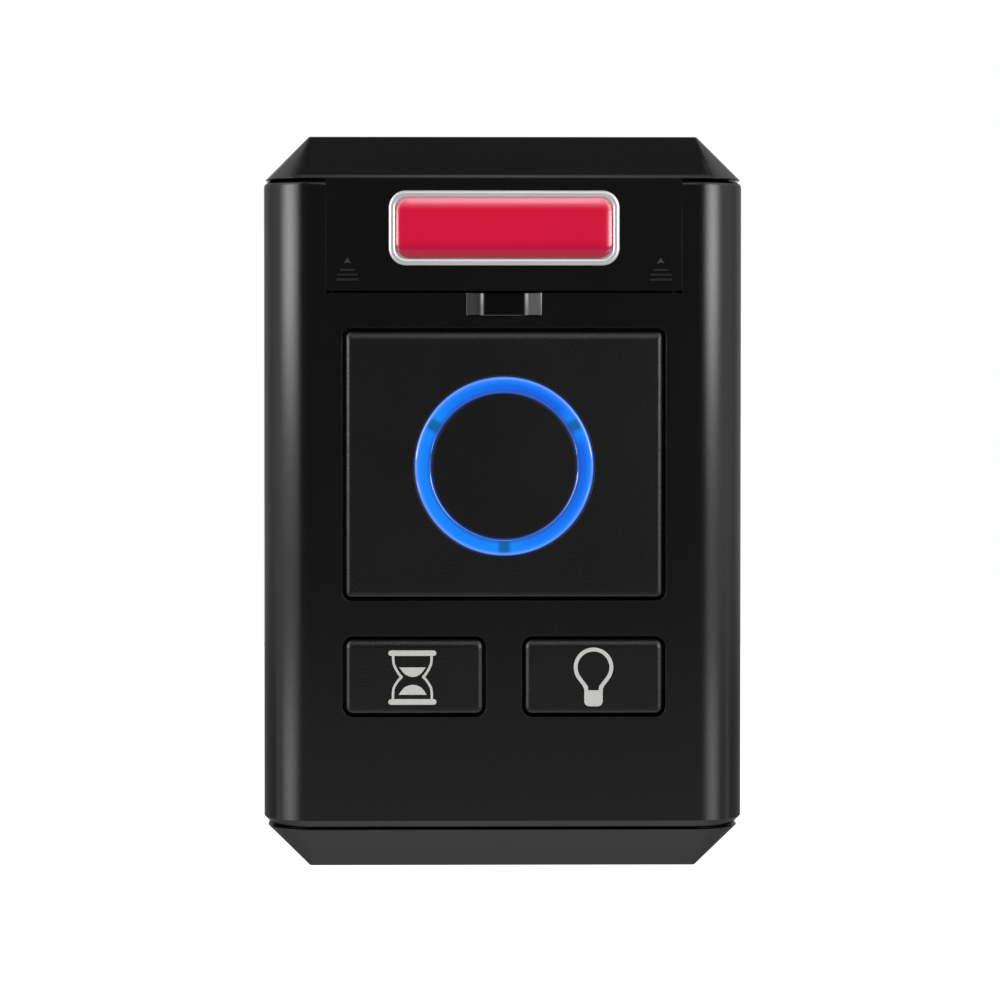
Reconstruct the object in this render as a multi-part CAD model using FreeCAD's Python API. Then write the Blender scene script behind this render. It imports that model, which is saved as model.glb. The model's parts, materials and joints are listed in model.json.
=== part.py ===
import FreeCAD, Part
import math
import os

# Wireless wall console, in millimetres. The origin is the centre of the back face,
# which lies against the wall: +X right, +Z up, and the front looks along -Y.

# Overall form
width = 70.0
height = 107.0
depth = 25.0
corner_radius = 7.0
hip = 6.4
wall = 2.0
back_plate = 2.0
shell_edge = 0.95
bottom_step = 0.5
cap_step = 0.25

# Gaps
seam = 0.35
slip = 0.2
touch = 0.05
overcut = 1.0

# Battery cover
post_width = 9.6
apron_drop = 22.7
fold_bevel = 0.9
fold_angle = 22.5
tongue_reach = 1.6
tongue_thickness = 1.2
skirt_depth = 1.5
skirt_thickness = 1.3
cover_rib = 1.0
cover_rib_pitch = 12.0

# Arrow grips on the cover
grip_bars = 5
grip_inset = 2.9
grip_rise = 1.4
grip_pitch = 0.66
grip_width = 3.4
grip_bar = 0.36
grip_height = 0.25

# Nameplate
plate_width = 33.3
plate_height = 10.8
plate_radius = 2.5
plate_rise = 9.0
plate_seat = 0.5
plate_proud = 0.5
rim_width = 1.0
rim_bevel_share = 0.3
face_seat = 0.3
dome_height = 0.35

# Finger scoop below the cover
scoop_radius = 7.35
scoop_half_width = 5.5
scoop_height = 3.4
scoop_wall = 0.9

# Push buttons
door_border = 11.975
door_height = 38.7
panel_band = 5.76
key_gap = 5.84
key_height = 11.0
door_corner = 1.0
key_corner = 1.2
button_proud = 0.2
button_plate = 2.0
button_skirt = 1.4
button_edge = 0.6
flange_reach = 0.8
flange_thickness = 1.0
guide_thickness = 1.0
guide_length = 5.0
boss_radius = 2.4
web_thickness = 1.0
stroke = 0.5

# Light ring in the door button
ring_outer = 26.0
ring_band = 2.55
ring_drop = 0.25
ring_top = 1.0
ring_edge = 0.35
bridge_width = 1.7
bridge_angles = (30.0, 150.0, 270.0)

# Circuit board and its parts
board_depth = 10.0
board_thickness = 1.6
board_margin = 1.1
board_floor_gap = 2.1
board_low_gap = 3.6
board_corner = 1.5
switch_size = 6.0
switch_height = 3.6
plunger_radius = 1.75
plunger_height = 1.4
plunger_tail = 1.2
leg_reach = 0.8
leg_width = 0.7
leg_thickness = 0.5
leg_spread = 4.5
led_count = 6
led_length = 2.0
led_width = 1.25
led_height = 0.8
baffle_wall = 0.8
chip_size = 7.0
chip_height = 1.0
radio_width = 18.0
radio_height = 12.0
radio_thickness = 3.0
capacitor_radius = 3.15
capacitor_height = 5.5
capacitor_edge = 0.4
antenna_wire_radius = 0.4
antenna_length = 30.0
antenna_standoff = 3.0
wire_sides = 5

# Flats round what repeats inside
post_sides = 12
screw_sides = 10
can_sides = 24
trough_sides = 36

# Screws
boss_inset = 6.8
case_boss_radius = 2.6
case_column_radius = 3.1
case_floor_gap = 5.6
case_end_gap = 7.1
case_screw_radius = 1.1
case_head_radius = 2.2
case_head_height = 1.4
case_head_sink = 0.6
case_column_height = 6.0
case_screw_grip = 8.0
board_post_radius = 2.5
board_screw_radius = 0.9
board_head_radius = 1.8
board_head_height = 1.2
board_screw_length = 7.0
board_screw_inset = 3.0
screw_slack = 0.05
screw_tip_gap = 0.5

# Cells and their contacts
cell_diameter = 10.5
cell_length = 44.5
cell_nub_radius = 1.9
cell_nub_length = 1.0
cell_crimp = 0.4
cell_gap = 0.5
cell_play = 0.3
top_clearance = 0.5
slope_clearance = 0.45
contact_thickness = 0.4
contact_margin = 1.6
tag_width = 2.0
tag_drop = 1.2
contact_dimple = 0.5
spring_length = 4.6
spring_wire = 0.6
spring_turns = 3
spring_samples = 240
spring_base_radius = 3.6
spring_tip_radius = 2.2
tub_wall = 1.5
tub_setback = 1.8
saddle_height = 7.5
lead_radius = 0.45
lead_bend = 1.0
lead_fall = 3.0
lead_inset = 4.0
lead_pitch = 3.0

# Wall fixing
keyhole_drop = 60.0
keyhole_travel = 7.0
keyhole_entry_radius = 4.25
wall_screw_radius = 2.25
well_radius = 4.6
well_wall = 1.4

# Places worked out from the sizes above
front = -depth
panel = front + wall
top = height / 2
bottom = -height / 2
cap_base = top - hip
shell_top = cap_base - seam
shell_base = bottom + hip
end_top = shell_base - seam
shell_back = -back_plate - seam
apron_half = width / 2 - post_width
apron_base = top - apron_drop
opening_base = apron_base - seam

door_width = width - 2 * door_border
door_z = apron_base - panel_band - door_height / 2
key_width = (door_width - key_gap) / 2
key_x = (key_gap + key_width) / 2
key_z = door_z - door_height / 2 - key_gap - key_height / 2
ring_z = door_z - ring_drop
ring_inner = ring_outer - 2 * ring_band
face = front - button_proud
flange_front = panel + touch
button_back = flange_front + flange_thickness
button_floor = face + button_plate

cell_radius = cell_diameter / 2
upper_z = top - wall - top_clearance - cell_radius
lower_z = upper_z - cell_diameter - cell_gap
slope_sum = cap_base - front
cell_y = upper_z - slope_sum + math.sqrt(2) * (cell_radius + wall + slope_clearance)
contact_face = (cell_length + spring_length + contact_dimple) / 2
tub_half = contact_face + contact_thickness + touch
tub_front = panel + tub_setback
tub_back = cell_y + cell_radius + cell_play + tub_wall
tub_top = top - wall - top_clearance - slip
floor_top = lower_z - cell_radius - cell_play
floor_base = floor_top - tub_wall

board_front = front + board_depth
board_back = board_front + board_thickness
case_x = width / 2 - boss_inset
case_high_z = floor_base - case_floor_gap
case_low_z = shell_base + case_end_gap
board_half = case_x - case_boss_radius - board_margin
board_top = floor_base - board_floor_gap
board_base = shell_base + board_low_gap
board_screw_x = board_half - board_screw_inset
board_screw_z = (board_base + board_screw_inset, board_top - board_screw_inset)
beside_ring = (ring_outer / 2 + baffle_wall + board_half) / 2
plunger_tip = board_front - switch_height - plunger_height
column_end = -back_plate - case_column_height
well_z = (upper_z + lower_z) / 2
keyhole_seat_z = well_z - keyhole_drop
keyhole_entry_z = keyhole_seat_z - keyhole_travel
far = 2 * (width + height)


def at(x, y, z):
    return FreeCAD.Vector(x, y, z)


def block(x0, x1, y0, y1, z0, z1):
    return Part.makeBox(x1 - x0, y1 - y0, z1 - z0, at(x0, y0, z0))


def rod(x, z, radius, y0, y1):
    return Part.makeCylinder(radius, y1 - y0, at(x, y0, z), at(0, 1, 0))


def many_sided(x, z, radius, y0, y1, sides):
    """A round post, pin or hole drawn with flats."""
    points = []
    for index in range(sides):
        angle = 2 * math.pi * index / sides
        points.append(at(x + radius * math.cos(angle), y0, z + radius * math.sin(angle)))
    return Part.Face(Part.makePolygon(points + points[:1])).extrude(at(0, y1 - y0, 0))


def rounded_plate(x, z, plate_w, plate_h, radius, y0, y1):
    """A plate with round corners, lying across Y."""
    half_w, half_h = plate_w / 2, plate_h / 2
    turn = radius * (1 - math.sqrt(0.5))
    edges = []
    corner_signs = ((1, 1), (-1, 1), (-1, -1), (1, -1))
    starts = []
    for index, (sx, sz) in enumerate(corner_signs):
        along_x = at(x + sx * (half_w - radius), y0, z + sz * half_h)
        along_z = at(x + sx * half_w, y0, z + sz * (half_h - radius))
        middle = at(x + sx * (half_w - turn), y0, z + sz * (half_h - turn))
        first, last = (along_z, along_x) if index % 2 == 0 else (along_x, along_z)
        starts.append((first, middle, last))
    for index, (first, middle, last) in enumerate(starts):
        edges.append(Part.Arc(first, middle, last).toShape())
        edges.append(Part.LineSegment(last, starts[(index + 1) % 4][0]).toShape())
    return Part.Face(Part.Wire(edges)).extrude(at(0, y1 - y0, 0))


def plan_wire(half_width, front_y, radius, z):
    """Plan outline: flat front, round front corners, straight sides and an open-plan back."""
    turn = radius * (1 - math.sqrt(0.5))
    back_left = at(-half_width, 0, z)
    side_left = at(-half_width, front_y + radius, z)
    front_left = at(-half_width + radius, front_y, z)
    front_right = at(half_width - radius, front_y, z)
    side_right = at(half_width, front_y + radius, z)
    back_right = at(half_width, 0, z)
    middle_left = at(-half_width + turn, front_y + turn, z)
    middle_right = at(half_width - turn, front_y + turn, z)
    return Part.Wire([
        Part.LineSegment(back_left, side_left).toShape(),
        Part.Arc(side_left, middle_left, front_left).toShape(),
        Part.LineSegment(front_left, front_right).toShape(),
        Part.Arc(front_right, middle_right, side_right).toShape(),
        Part.LineSegment(side_right, back_right).toShape(),
        Part.LineSegment(back_right, back_left).toShape(),
    ])


def prism(half_width, front_y, radius, z0, z1):
    return Part.Face(plan_wire(half_width, front_y, radius, z0)).extrude(at(0, 0, z1 - z0))


def sloped(x0, x1, y0, y1, z0, z1, drop_x, drop_y):
    """A block whose z1 end is drawn in by the given amounts at both X ends and at the front."""
    near = [at(x0, y0, z0), at(x1, y0, z0), at(x1, y1, z0), at(x0, y1, z0)]
    away = [at(x0 + drop_x, y0 + drop_y, z1), at(x1 - drop_x, y0 + drop_y, z1),
            at(x1 - drop_x, y1, z1), at(x0 + drop_x, y1, z1)]
    outlines = [near, away]
    for index in range(4):
        after = (index + 1) % 4
        outlines.append([near[index], near[after], away[after], away[index]])
    faces = [Part.Face(Part.makePolygon(points + points[:1])) for points in outlines]
    return Part.makeSolid(Part.makeShell(faces))


def hipped(half_width, front_y, radius, z_end, z_full):
    """The stretch from the full outline at z_full to the end, sloped at 45 degrees on three sides."""
    drop = abs(z_end - z_full)
    upward = 1 if z_end > z_full else -1
    end_radius = max(radius - drop, 0)
    across = half_width - radius
    body = sloped(-half_width, half_width, front_y + radius, 0, z_full, z_end, drop, 0)
    nose = sloped(-across, across, front_y, 0, z_full, z_end, 0, drop)
    corners = []
    for side in (-1, 1):
        corners.append(Part.makeCone(radius, end_radius, drop, at(side * across, front_y + radius, z_full),
                                     at(0, 0, upward)))
    return body.fuse([nose] + corners).removeSplitter()


def hipped_inside(half_width, front_y, radius, z_end, z_full):
    """The hollow of a hipped end, with the same wall on its slopes as on its sides."""
    sign = 1 if z_end > z_full else -1
    shift = wall * (math.sqrt(2) - 1)
    inner_full = z_full - sign * shift
    inner_end = z_end - sign * wall
    inside = (half_width - wall, front_y + wall, radius - wall)
    hollow = hipped(*inside, inner_end, inner_full)
    low, high = sorted((inner_full, inner_full - sign * hip))
    return hollow.fuse(prism(*inside, low, high)).removeSplitter()


def chamfered_prism(half_width, front_y, radius, z0, z1, edge):
    middle = prism(half_width, front_y, radius, z0 + edge, z1 - edge)
    low = hipped(half_width, front_y, radius, z0, z0 + edge)
    high = hipped(half_width, front_y, radius, z1, z1 - edge)
    return middle.fuse([low, high]).removeSplitter()


def four_sided(x, z):
    return [(sx * x, sz) for sx in (-1, 1) for sz in z]


def face_edges(shape, y):
    """Edges that lie in the plane of the given depth."""
    found = []
    for edge in shape.Edges:
        box = edge.BoundBox
        if abs(box.YMin - y) < 1e-4 and abs(box.YMax - y) < 1e-4:
            found.append(edge)
    return found


def window_guides(x, z, window_w, window_h):
    """Short ribs behind the panel that steer a button's flange."""
    half_w = window_w / 2 + flange_reach + slip
    half_h = window_h / 2 + flange_reach + slip
    y0, y1 = panel - touch, button_back + stroke
    guides = []
    for side in (-1, 1):
        for end in (-1, 1):
            xs = sorted((x + side * half_w, x + side * (half_w + guide_thickness)))
            z_mid = z + end * (window_h / 2 - guide_length / 2)
            guides.append(block(*xs, y0, y1, z_mid - guide_length / 2, z_mid + guide_length / 2))
            zs = sorted((z + side * half_h, z + side * (half_h + guide_thickness)))
            x_mid = x + end * (window_w / 2 - guide_length / 2)
            guides.append(block(x_mid - guide_length / 2, x_mid + guide_length / 2, y0, y1, *zs))
    return guides


def make_front_shell():
    outline = (width / 2, front, corner_radius)
    shell = chamfered_prism(*outline, shell_base, shell_top, shell_edge)
    inside = prism(width / 2 - wall, panel, corner_radius - wall, bottom, top)
    shell = shell.cut([inside, block(-width, width, shell_back, far, bottom, top)])

    scoop_depth = scoop_radius - math.sqrt(scoop_radius**2 - scoop_half_width**2)
    scoop_base = opening_base - scoop_height
    pocket_back = front + scoop_depth + scoop_wall
    pocket_half = scoop_half_width + scoop_wall
    pocket = block(-pocket_half, pocket_half, panel - touch, pocket_back,
                   scoop_base - scoop_wall, opening_base)
    additions = [pocket]
    windows = [(0, door_z, door_width, door_height, door_corner)]
    for side in (-1, 1):
        windows.append((side * key_x, key_z, key_width, key_height, key_corner))
    for x, z, window_w, window_h, corner in windows:
        additions += window_guides(x, z, window_w, window_h)
    for x, z in four_sided(case_x, (case_low_z, case_high_z)):
        additions.append(many_sided(x, z, case_boss_radius, panel - touch, column_end - slip, post_sides))
    shell = shell.fuse(additions)

    cuts = [block(-apron_half - seam, apron_half + seam, front - wall, panel + wall / 2,
                  opening_base, top)]
    scoop_axis = front + scoop_depth - scoop_radius
    cuts.append(Part.makeCylinder(scoop_radius, scoop_height + wall, at(0, scoop_axis, scoop_base)))
    for x, z, window_w, window_h, corner in windows:
        cuts.append(rounded_plate(x, z, window_w + 2 * seam, window_h + 2 * seam,
                                  corner + seam, front - wall, panel + touch))
    for x, z in four_sided(case_x, (case_low_z, case_high_z)):
        cuts.append(many_sided(x, z, case_screw_radius + screw_slack,
                               column_end - case_screw_grip, far, screw_sides))
    return shell.cut(cuts).removeSplitter()


def make_bottom_end():
    """Sloped bottom end of the housing, with a lip that locates the shell."""
    outline = (width / 2 - bottom_step, front + shell_edge, corner_radius - bottom_step)
    end = hipped(*outline, bottom, end_top)
    lip_outline = (width / 2 - wall - slip, panel + slip, corner_radius - wall - slip)
    lip_inside = (lip_outline[0] - skirt_thickness, lip_outline[1] + skirt_thickness,
                  lip_outline[2] - skirt_thickness)
    lip_top = shell_base + skirt_depth
    lip = prism(*lip_outline, end_top - wall, lip_top).cut(prism(*lip_inside, bottom, top))
    in_front = block(-width, width, -far, -back_plate, bottom, top)
    hollow = hipped_inside(*outline, bottom, end_top).common(in_front)
    limits = end.fuse(prism(*lip_outline, end_top, lip_top)).common(
        block(-width, width, -far, 0, bottom, top))
    return end.cut(hollow).fuse(lip.common(in_front)).common(limits)


def make_back():
    """Back plate with the console's full outline, and low walls inside the shell's sides."""
    half = width / 2
    corners = [(-half, end_top), (half, end_top), (half, cap_base), (half - hip, top),
               (hip - half, top), (-half, cap_base)]
    points = [at(x, -back_plate, z) for x, z in corners]
    plate = Part.Face(Part.makePolygon(points + points[:1])).extrude(at(0, back_plate, 0))
    outer_x = half - wall - slip
    walls = []
    for side in (-1, 1):
        xs = sorted((side * outer_x, side * (outer_x - skirt_thickness)))
        walls.append(block(*xs, column_end, -back_plate, end_top, cap_base - 2 * skirt_depth))
    return plate.fuse(walls)


def make_battery_tub():
    """Open-fronted box for the cells, with a scalloped saddle, end walls and a floor."""
    outer_half = tub_half + tub_wall
    tub = block(-outer_half, outer_half, tub_front, -back_plate, floor_base, tub_top)
    room = block(-tub_half, tub_half, tub_front - wall, tub_back - tub_wall, floor_top, far)
    cavity = block(-tub_half, tub_half, tub_back, -back_plate, floor_top, tub_top - tub_wall)
    tub = tub.cut([room, cavity])
    saddle_half = contact_face - 2 * contact_dimple
    saddle = block(-saddle_half, saddle_half, tub_back - saddle_height + tub_wall, tub_back,
                   floor_top, tub_top)
    scallops = []
    for z in (upper_z, lower_z):
        scallops.append(Part.makeCylinder(cell_radius + cell_play, 2 * tub_half,
                                          at(-tub_half, cell_y, z), at(1, 0, 0)))
    tub = tub.fuse(saddle).cut(scallops)
    clear = wall + slip
    envelope_outline = (width / 2 - clear - cap_step, front + clear, corner_radius - clear)
    slope_shift = clear * (math.sqrt(2) - 1)
    envelope = hipped(*envelope_outline, top - clear, cap_base - slope_shift).fuse(
        prism(*envelope_outline, floor_base - wall, cap_base - slope_shift))
    return tub.common(envelope)


def make_rear_housing():
    housing = make_back().fuse([make_bottom_end(), make_battery_tub()])
    case_points = four_sided(case_x, (case_low_z, case_high_z))
    board_points = four_sided(board_screw_x, board_screw_z)
    additions = [many_sided(0, well_z, well_radius + well_wall, tub_back - tub_wall, 0, can_sides)]
    for x, z in case_points:
        additions.append(many_sided(x, z, case_column_radius, column_end, 0, post_sides))
    for x, z in board_points:
        additions.append(many_sided(x, z, board_post_radius, board_back, 0, post_sides))
    housing = housing.fuse(additions)

    cuts = [rod(0, well_z, well_radius, front, -back_plate), rod(0, well_z, wall_screw_radius, -far, far)]
    for x, z in case_points:
        head_floor = -case_head_sink - case_head_height - touch
        cuts.append(many_sided(x, z, case_screw_radius + slip, column_end - wall, overcut, screw_sides))
        cuts.append(many_sided(x, z, case_head_radius + slip, head_floor, overcut, post_sides))
    for x, z in board_points:
        pilot_end = board_front + board_screw_length
        cuts.append(many_sided(x, z, board_screw_radius + screw_slack, board_back - wall, pilot_end,
                               screw_sides))
    slot = wall_screw_radius
    inside = -back_plate - overcut
    cuts.append(rod(0, keyhole_entry_z, keyhole_entry_radius, inside, overcut))
    cuts.append(rod(0, keyhole_seat_z, slot, inside, overcut))
    cuts.append(block(-slot, slot, inside, overcut, keyhole_entry_z, keyhole_seat_z))
    for y0, y1 in (positive_tag_span(), negative_tag_span()):
        cuts.append(block(contact_face - slip, tub_half, y0 - slip, y1 + slip,
                          floor_base - wall, floor_top + touch))
    return housing.cut(cuts).removeSplitter()


def make_battery_cover():
    """Sloped top cap and the apron that hangs from its front, with side tongues behind the posts."""
    outline = (width / 2 - cap_step, front, corner_radius - cap_step)
    cap = hipped(*outline, top, cap_base)
    cap = cap.cut([hipped_inside(*outline, top, cap_base),
                   block(-width, width, shell_back, far, cap_base - wall, top + wall)])
    apron = block(-apron_half, apron_half, front, panel, apron_base, cap_base + wall / 2)
    tongue_front = panel + slip
    tongue_back = tongue_front + tongue_thickness
    inner_edge = apron_half - tongue_reach
    pieces = [apron]
    for side in (-1, 1):
        tongue_x = sorted((side * inner_edge, side * (apron_half + tongue_reach)))
        bridge_x = sorted((side * inner_edge, side * (apron_half - slip)))
        pieces.append(block(*tongue_x, tongue_front, tongue_back, apron_base + seam, cap_base))
        pieces.append(block(*bridge_x, panel - touch, tongue_front + touch, apron_base + seam, cap_base))
        skirt_outer = width / 2 - wall - slip
        skirt_x = sorted((side * skirt_outer, side * (skirt_outer - skirt_thickness)))
        pieces.append(block(*skirt_x, front + corner_radius, shell_back - wall,
                            cap_base - skirt_depth, cap_base + wall / 4))
        pieces.append(block(side * cover_rib_pitch - cover_rib / 2, side * cover_rib_pitch + cover_rib / 2,
                            panel - touch, tongue_back, apron_base + seam, cap_base))
    cover = cap.fuse(pieces)
    hull = hipped(width / 2 - cap_step, front, corner_radius - cap_step, top, cap_base)
    hull = hull.fuse(block(-width, width, front, 0, bottom, cap_base))
    cover = cover.common(hull)

    bevel = Part.makeBox(2 * apron_half, fold_bevel, 2 * fold_bevel,
                         at(-apron_half, -fold_bevel, -fold_bevel))
    bevel.rotate(at(0, 0, 0), at(1, 0, 0), -fold_angle)
    tilt = math.radians(fold_angle)
    sink = fold_bevel / 2 * math.tan(tilt)
    bevel.translate(at(0, front + sink * math.cos(tilt), cap_base - sink * math.sin(tilt)))
    seat = rounded_plate(0, apron_base + plate_rise, plate_width + 2 * touch, plate_height + 2 * touch,
                         plate_radius + touch, front - wall, front + plate_seat)
    cover = cover.cut([bevel, seat])
    return cover.fuse(arrow_grips()).removeSplitter()


def arrow_grips():
    """Raised bars that step out into an upward arrow, one patch in each lower corner."""
    bars = []
    for side in (-1, 1):
        x = side * (apron_half - grip_inset)
        for index in range(grip_bars):
            half = grip_width / 2 * (grip_bars - index) / grip_bars
            z = apron_base + grip_rise + index * grip_pitch
            bars.append(block(x - half, x + half, front - grip_height, front + touch,
                              z - grip_bar / 2, z + grip_bar / 2))
    return bars


def make_nameplate_base():
    z = apron_base + plate_rise
    y0, y1 = front - plate_proud, front + plate_seat
    base = rounded_plate(0, z, plate_width, plate_height, plate_radius, y0, y1)
    base = base.makeChamfer(rim_width * rim_bevel_share, face_edges(base, y0))
    seat = rounded_plate(0, z, plate_width - 2 * rim_width, plate_height - 2 * rim_width,
                         plate_radius - rim_width / 2, y0 - wall, y0 + face_seat)
    return base.cut(seat)


def make_nameplate_face():
    """Blank field with a low crown, set into the rim."""
    z = apron_base + plate_rise
    y1 = front - plate_proud + face_seat
    field_w = plate_width - 2 * rim_width - 2 * touch
    field_h = plate_height - 2 * rim_width - 2 * touch
    field = rounded_plate(0, z, field_w, field_h, plate_radius - rim_width / 2 - touch,
                          y1 - face_seat - dome_height, y1)
    crown_radius = (field_w**2 / 4 + dome_height**2) / (2 * dome_height)
    crown = Part.makeCylinder(crown_radius, field_h + wall,
                              at(0, y1 - face_seat - dome_height + crown_radius, z - field_h / 2 - wall / 2))
    return field.common(crown)


def button_body(x, z, face_w, face_h, corner):
    """Hollow push button with a flange that stays behind the panel."""
    body = rounded_plate(x, z, face_w, face_h, corner, face, button_back)
    body = body.makeChamfer(button_edge, face_edges(body, face))
    flange = rounded_plate(x, z, face_w + 2 * flange_reach, face_h + 2 * flange_reach,
                           corner + flange_reach, flange_front, button_back)
    inner_x, inner_z = face_w / 2 - button_skirt, face_h / 2 - button_skirt
    hollow = block(x - inner_x, x + inner_x, button_floor, button_back + wall, z - inner_z, z + inner_z)
    reach_x, reach_z = face_w / 2 - button_skirt / 2, face_h / 2 - button_skirt / 2
    half_web = web_thickness / 2
    y0 = button_floor - touch
    webs = [block(x - reach_x, x + reach_x, y0, button_back, z - half_web, z + half_web),
            block(x - half_web, x + half_web, y0, button_back, z - reach_z, z + reach_z)]
    return body.fuse(flange).cut(hollow), webs


def make_door_button():
    body, webs = button_body(0, door_z, door_width, door_height, door_corner)
    inner, outer = ring_inner / 2, ring_outer / 2
    collar = many_sided(0, ring_z, outer + touch + web_thickness, button_floor - touch, button_back,
                        trough_sides)
    collar = collar.cut(many_sided(0, ring_z, inner - touch - web_thickness, front, far, trough_sides))
    body = body.fuse(webs + [collar])
    groove = rod(0, ring_z, outer + touch, front - wall, face + ring_top + touch)
    groove = groove.cut(rod(0, ring_z, inner - touch, -far, far))
    slots = rod(0, ring_z, outer + touch, front, button_back + wall)
    slots = slots.cut([rod(0, ring_z, inner - touch, -far, far)] + ring_bridges(bridge_width))
    body = body.cut([groove, slots])
    boss = many_sided(0, door_z, boss_radius, button_floor - touch, plunger_tip - touch, post_sides)
    return body.fuse(boss).removeSplitter()


def ring_bridges(bar_width):
    """Three spokes that cross under the light ring."""
    bars = []
    for angle in bridge_angles:
        bar = block(0, ring_outer, front, button_back + wall, -bar_width / 2, bar_width / 2)
        bar.rotate(at(0, 0, 0), at(0, 1, 0), -angle)
        bar.translate(at(0, 0, ring_z))
        bars.append(bar)
    return bars


def make_light_ring():
    """Clear ring flush with the button, on three legs that lead the light forward."""
    inner, outer = ring_inner / 2, ring_outer / 2
    ring = rod(0, ring_z, outer, face, face + ring_top)
    ring = ring.makeChamfer(ring_edge, face_edges(ring, face))
    legs = rod(0, ring_z, outer, face + ring_top - touch, button_back)
    legs = legs.cut(ring_bridges(bridge_width + 2 * touch))
    return ring.fuse(legs).cut(rod(0, ring_z, inner, -far, far)).removeSplitter()


def make_key(side):
    body, webs = button_body(side * key_x, key_z, key_width, key_height, key_corner)
    boss = many_sided(side * key_x, key_z, boss_radius, button_floor - touch, plunger_tip - touch,
                      post_sides)
    return body.fuse(webs + [boss]).removeSplitter()


def make_circuit_board():
    middle_z = (board_top + board_base) / 2
    board = rounded_plate(0, middle_z, 2 * board_half, board_top - board_base, board_corner,
                          board_front, board_back)
    holes = []
    for x, z in four_sided(board_screw_x, board_screw_z):
        holes.append(many_sided(x, z, board_screw_radius + slip, board_front - overcut,
                                board_back + overcut, screw_sides))
    return board.cut(holes)


def make_switch_body(x, z):
    half = switch_size / 2
    cover_front = board_front - switch_height
    body = block(x - half, x + half, cover_front, board_front, z - half, z + half)
    bore = many_sided(x, z, plunger_radius + touch, cover_front - overcut,
                      cover_front + plunger_tail + stroke + touch, post_sides)
    legs = []
    for side in (-1, 1):
        for end in (-1, 1):
            leg_x = sorted((x + side * half, x + side * (half + leg_reach)))
            leg_z = z + end * leg_spread / 2
            legs.append(block(*leg_x, board_front - leg_thickness, board_front,
                              leg_z - leg_width / 2, leg_z + leg_width / 2))
    return body.cut(bore).fuse(legs)


def make_switch_plunger(x, z):
    cover_front = board_front - switch_height
    return many_sided(x, z, plunger_radius, plunger_tip, cover_front + plunger_tail, post_sides)


def make_ring_leds():
    """Small lamps in a circle behind the light ring."""
    circle = (ring_outer + ring_inner) / 4
    leds = []
    for index in range(led_count):
        led = block(circle - led_width / 2, circle + led_width / 2, board_front - led_height, board_front,
                    -led_length / 2, led_length / 2)
        led.rotate(at(0, 0, 0), at(0, 1, 0), -360.0 * index / led_count)
        led.translate(at(0, 0, ring_z))
        leds.append(led)
    return Part.makeCompound(leds)


def make_light_baffle():
    """Ring-shaped trough between the board and the button that holds the lamps' light in."""
    front_y = button_back + stroke + slip
    inner, outer = ring_inner / 2, ring_outer / 2
    trough = many_sided(0, ring_z, outer + baffle_wall, front_y, board_front, trough_sides)
    trough = trough.cut(many_sided(0, ring_z, inner - baffle_wall, -far, far, trough_sides))
    channel = many_sided(0, ring_z, outer, front_y - overcut, board_front + overcut, trough_sides)
    channel = channel.cut(many_sided(0, ring_z, inner, -far, far, trough_sides))
    spokes = []
    for angle in bridge_angles:
        spoke = block(inner - touch, outer + touch, front_y, board_front, -baffle_wall / 2, baffle_wall / 2)
        spoke.rotate(at(0, 0, 0), at(0, 1, 0), -angle)
        spoke.translate(at(0, 0, ring_z))
        spokes.append(spoke)
    return trough.cut(channel).fuse(spokes).removeSplitter()


def make_controller_chip():
    half = chip_size / 2
    return block(-beside_ring - half, -beside_ring + half, board_front - chip_height, board_front,
                 ring_z - half, ring_z + half)


def make_radio_module():
    return block(-radio_width / 2, radio_width / 2, board_back, board_back + radio_thickness,
                 ring_z - radio_height / 2, ring_z + radio_height / 2)


def make_capacitor():
    can = many_sided(beside_ring, ring_z, capacitor_radius, board_front - capacitor_height, board_front,
                     can_sides)
    return can.makeChamfer(capacitor_edge, face_edges(can, board_front - capacitor_height))


def wire_section(centre, heading, radius):
    """Many-sided outline of a thin wire, square to its heading."""
    turn = FreeCAD.Rotation(at(0, 0, 1), heading)
    points = []
    for index in range(wire_sides):
        angle = 2 * math.pi * index / wire_sides
        points.append(centre + turn.multVec(at(radius * math.cos(angle), radius * math.sin(angle), 0)))
    return Part.makePolygon(points + points[:1])


def bent_tube(points, radius, bend):
    """A tube along straight runs joined by tangent arcs."""
    edges = []
    last = points[0]
    for index in range(1, len(points) - 1):
        corner = points[index]
        into = (corner - points[index - 1]).normalize()
        out = (points[index + 1] - corner).normalize()
        turn = into.getAngle(out)
        set_off = bend * math.tan(turn / 2)
        start = corner - into * set_off
        end = corner + out * set_off
        inward = (out - into).normalize()
        middle = corner + inward * (bend / math.cos(turn / 2) - bend)
        edges.append(Part.LineSegment(last, start).toShape())
        edges.append(Part.Arc(start, middle, end).toShape())
        last = end
    edges.append(Part.LineSegment(last, points[-1]).toShape())
    path = Part.Wire(edges)
    section = wire_section(points[0], points[1] - points[0], radius)
    return path.makePipeShell([section], True, False)


def make_antenna_wire():
    """Straight wire along the board's left edge, bent back into the board at both ends."""
    x = -board_screw_x
    z0 = (board_base + board_top) / 2 - antenna_length / 2
    y = board_back + antenna_standoff
    points = [at(x, board_back, z0), at(x, y, z0), at(x, y, z0 + antenna_length),
              at(x, board_back, z0 + antenna_length)]
    return bent_tube(points, antenna_wire_radius, antenna_standoff / 2)


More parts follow.
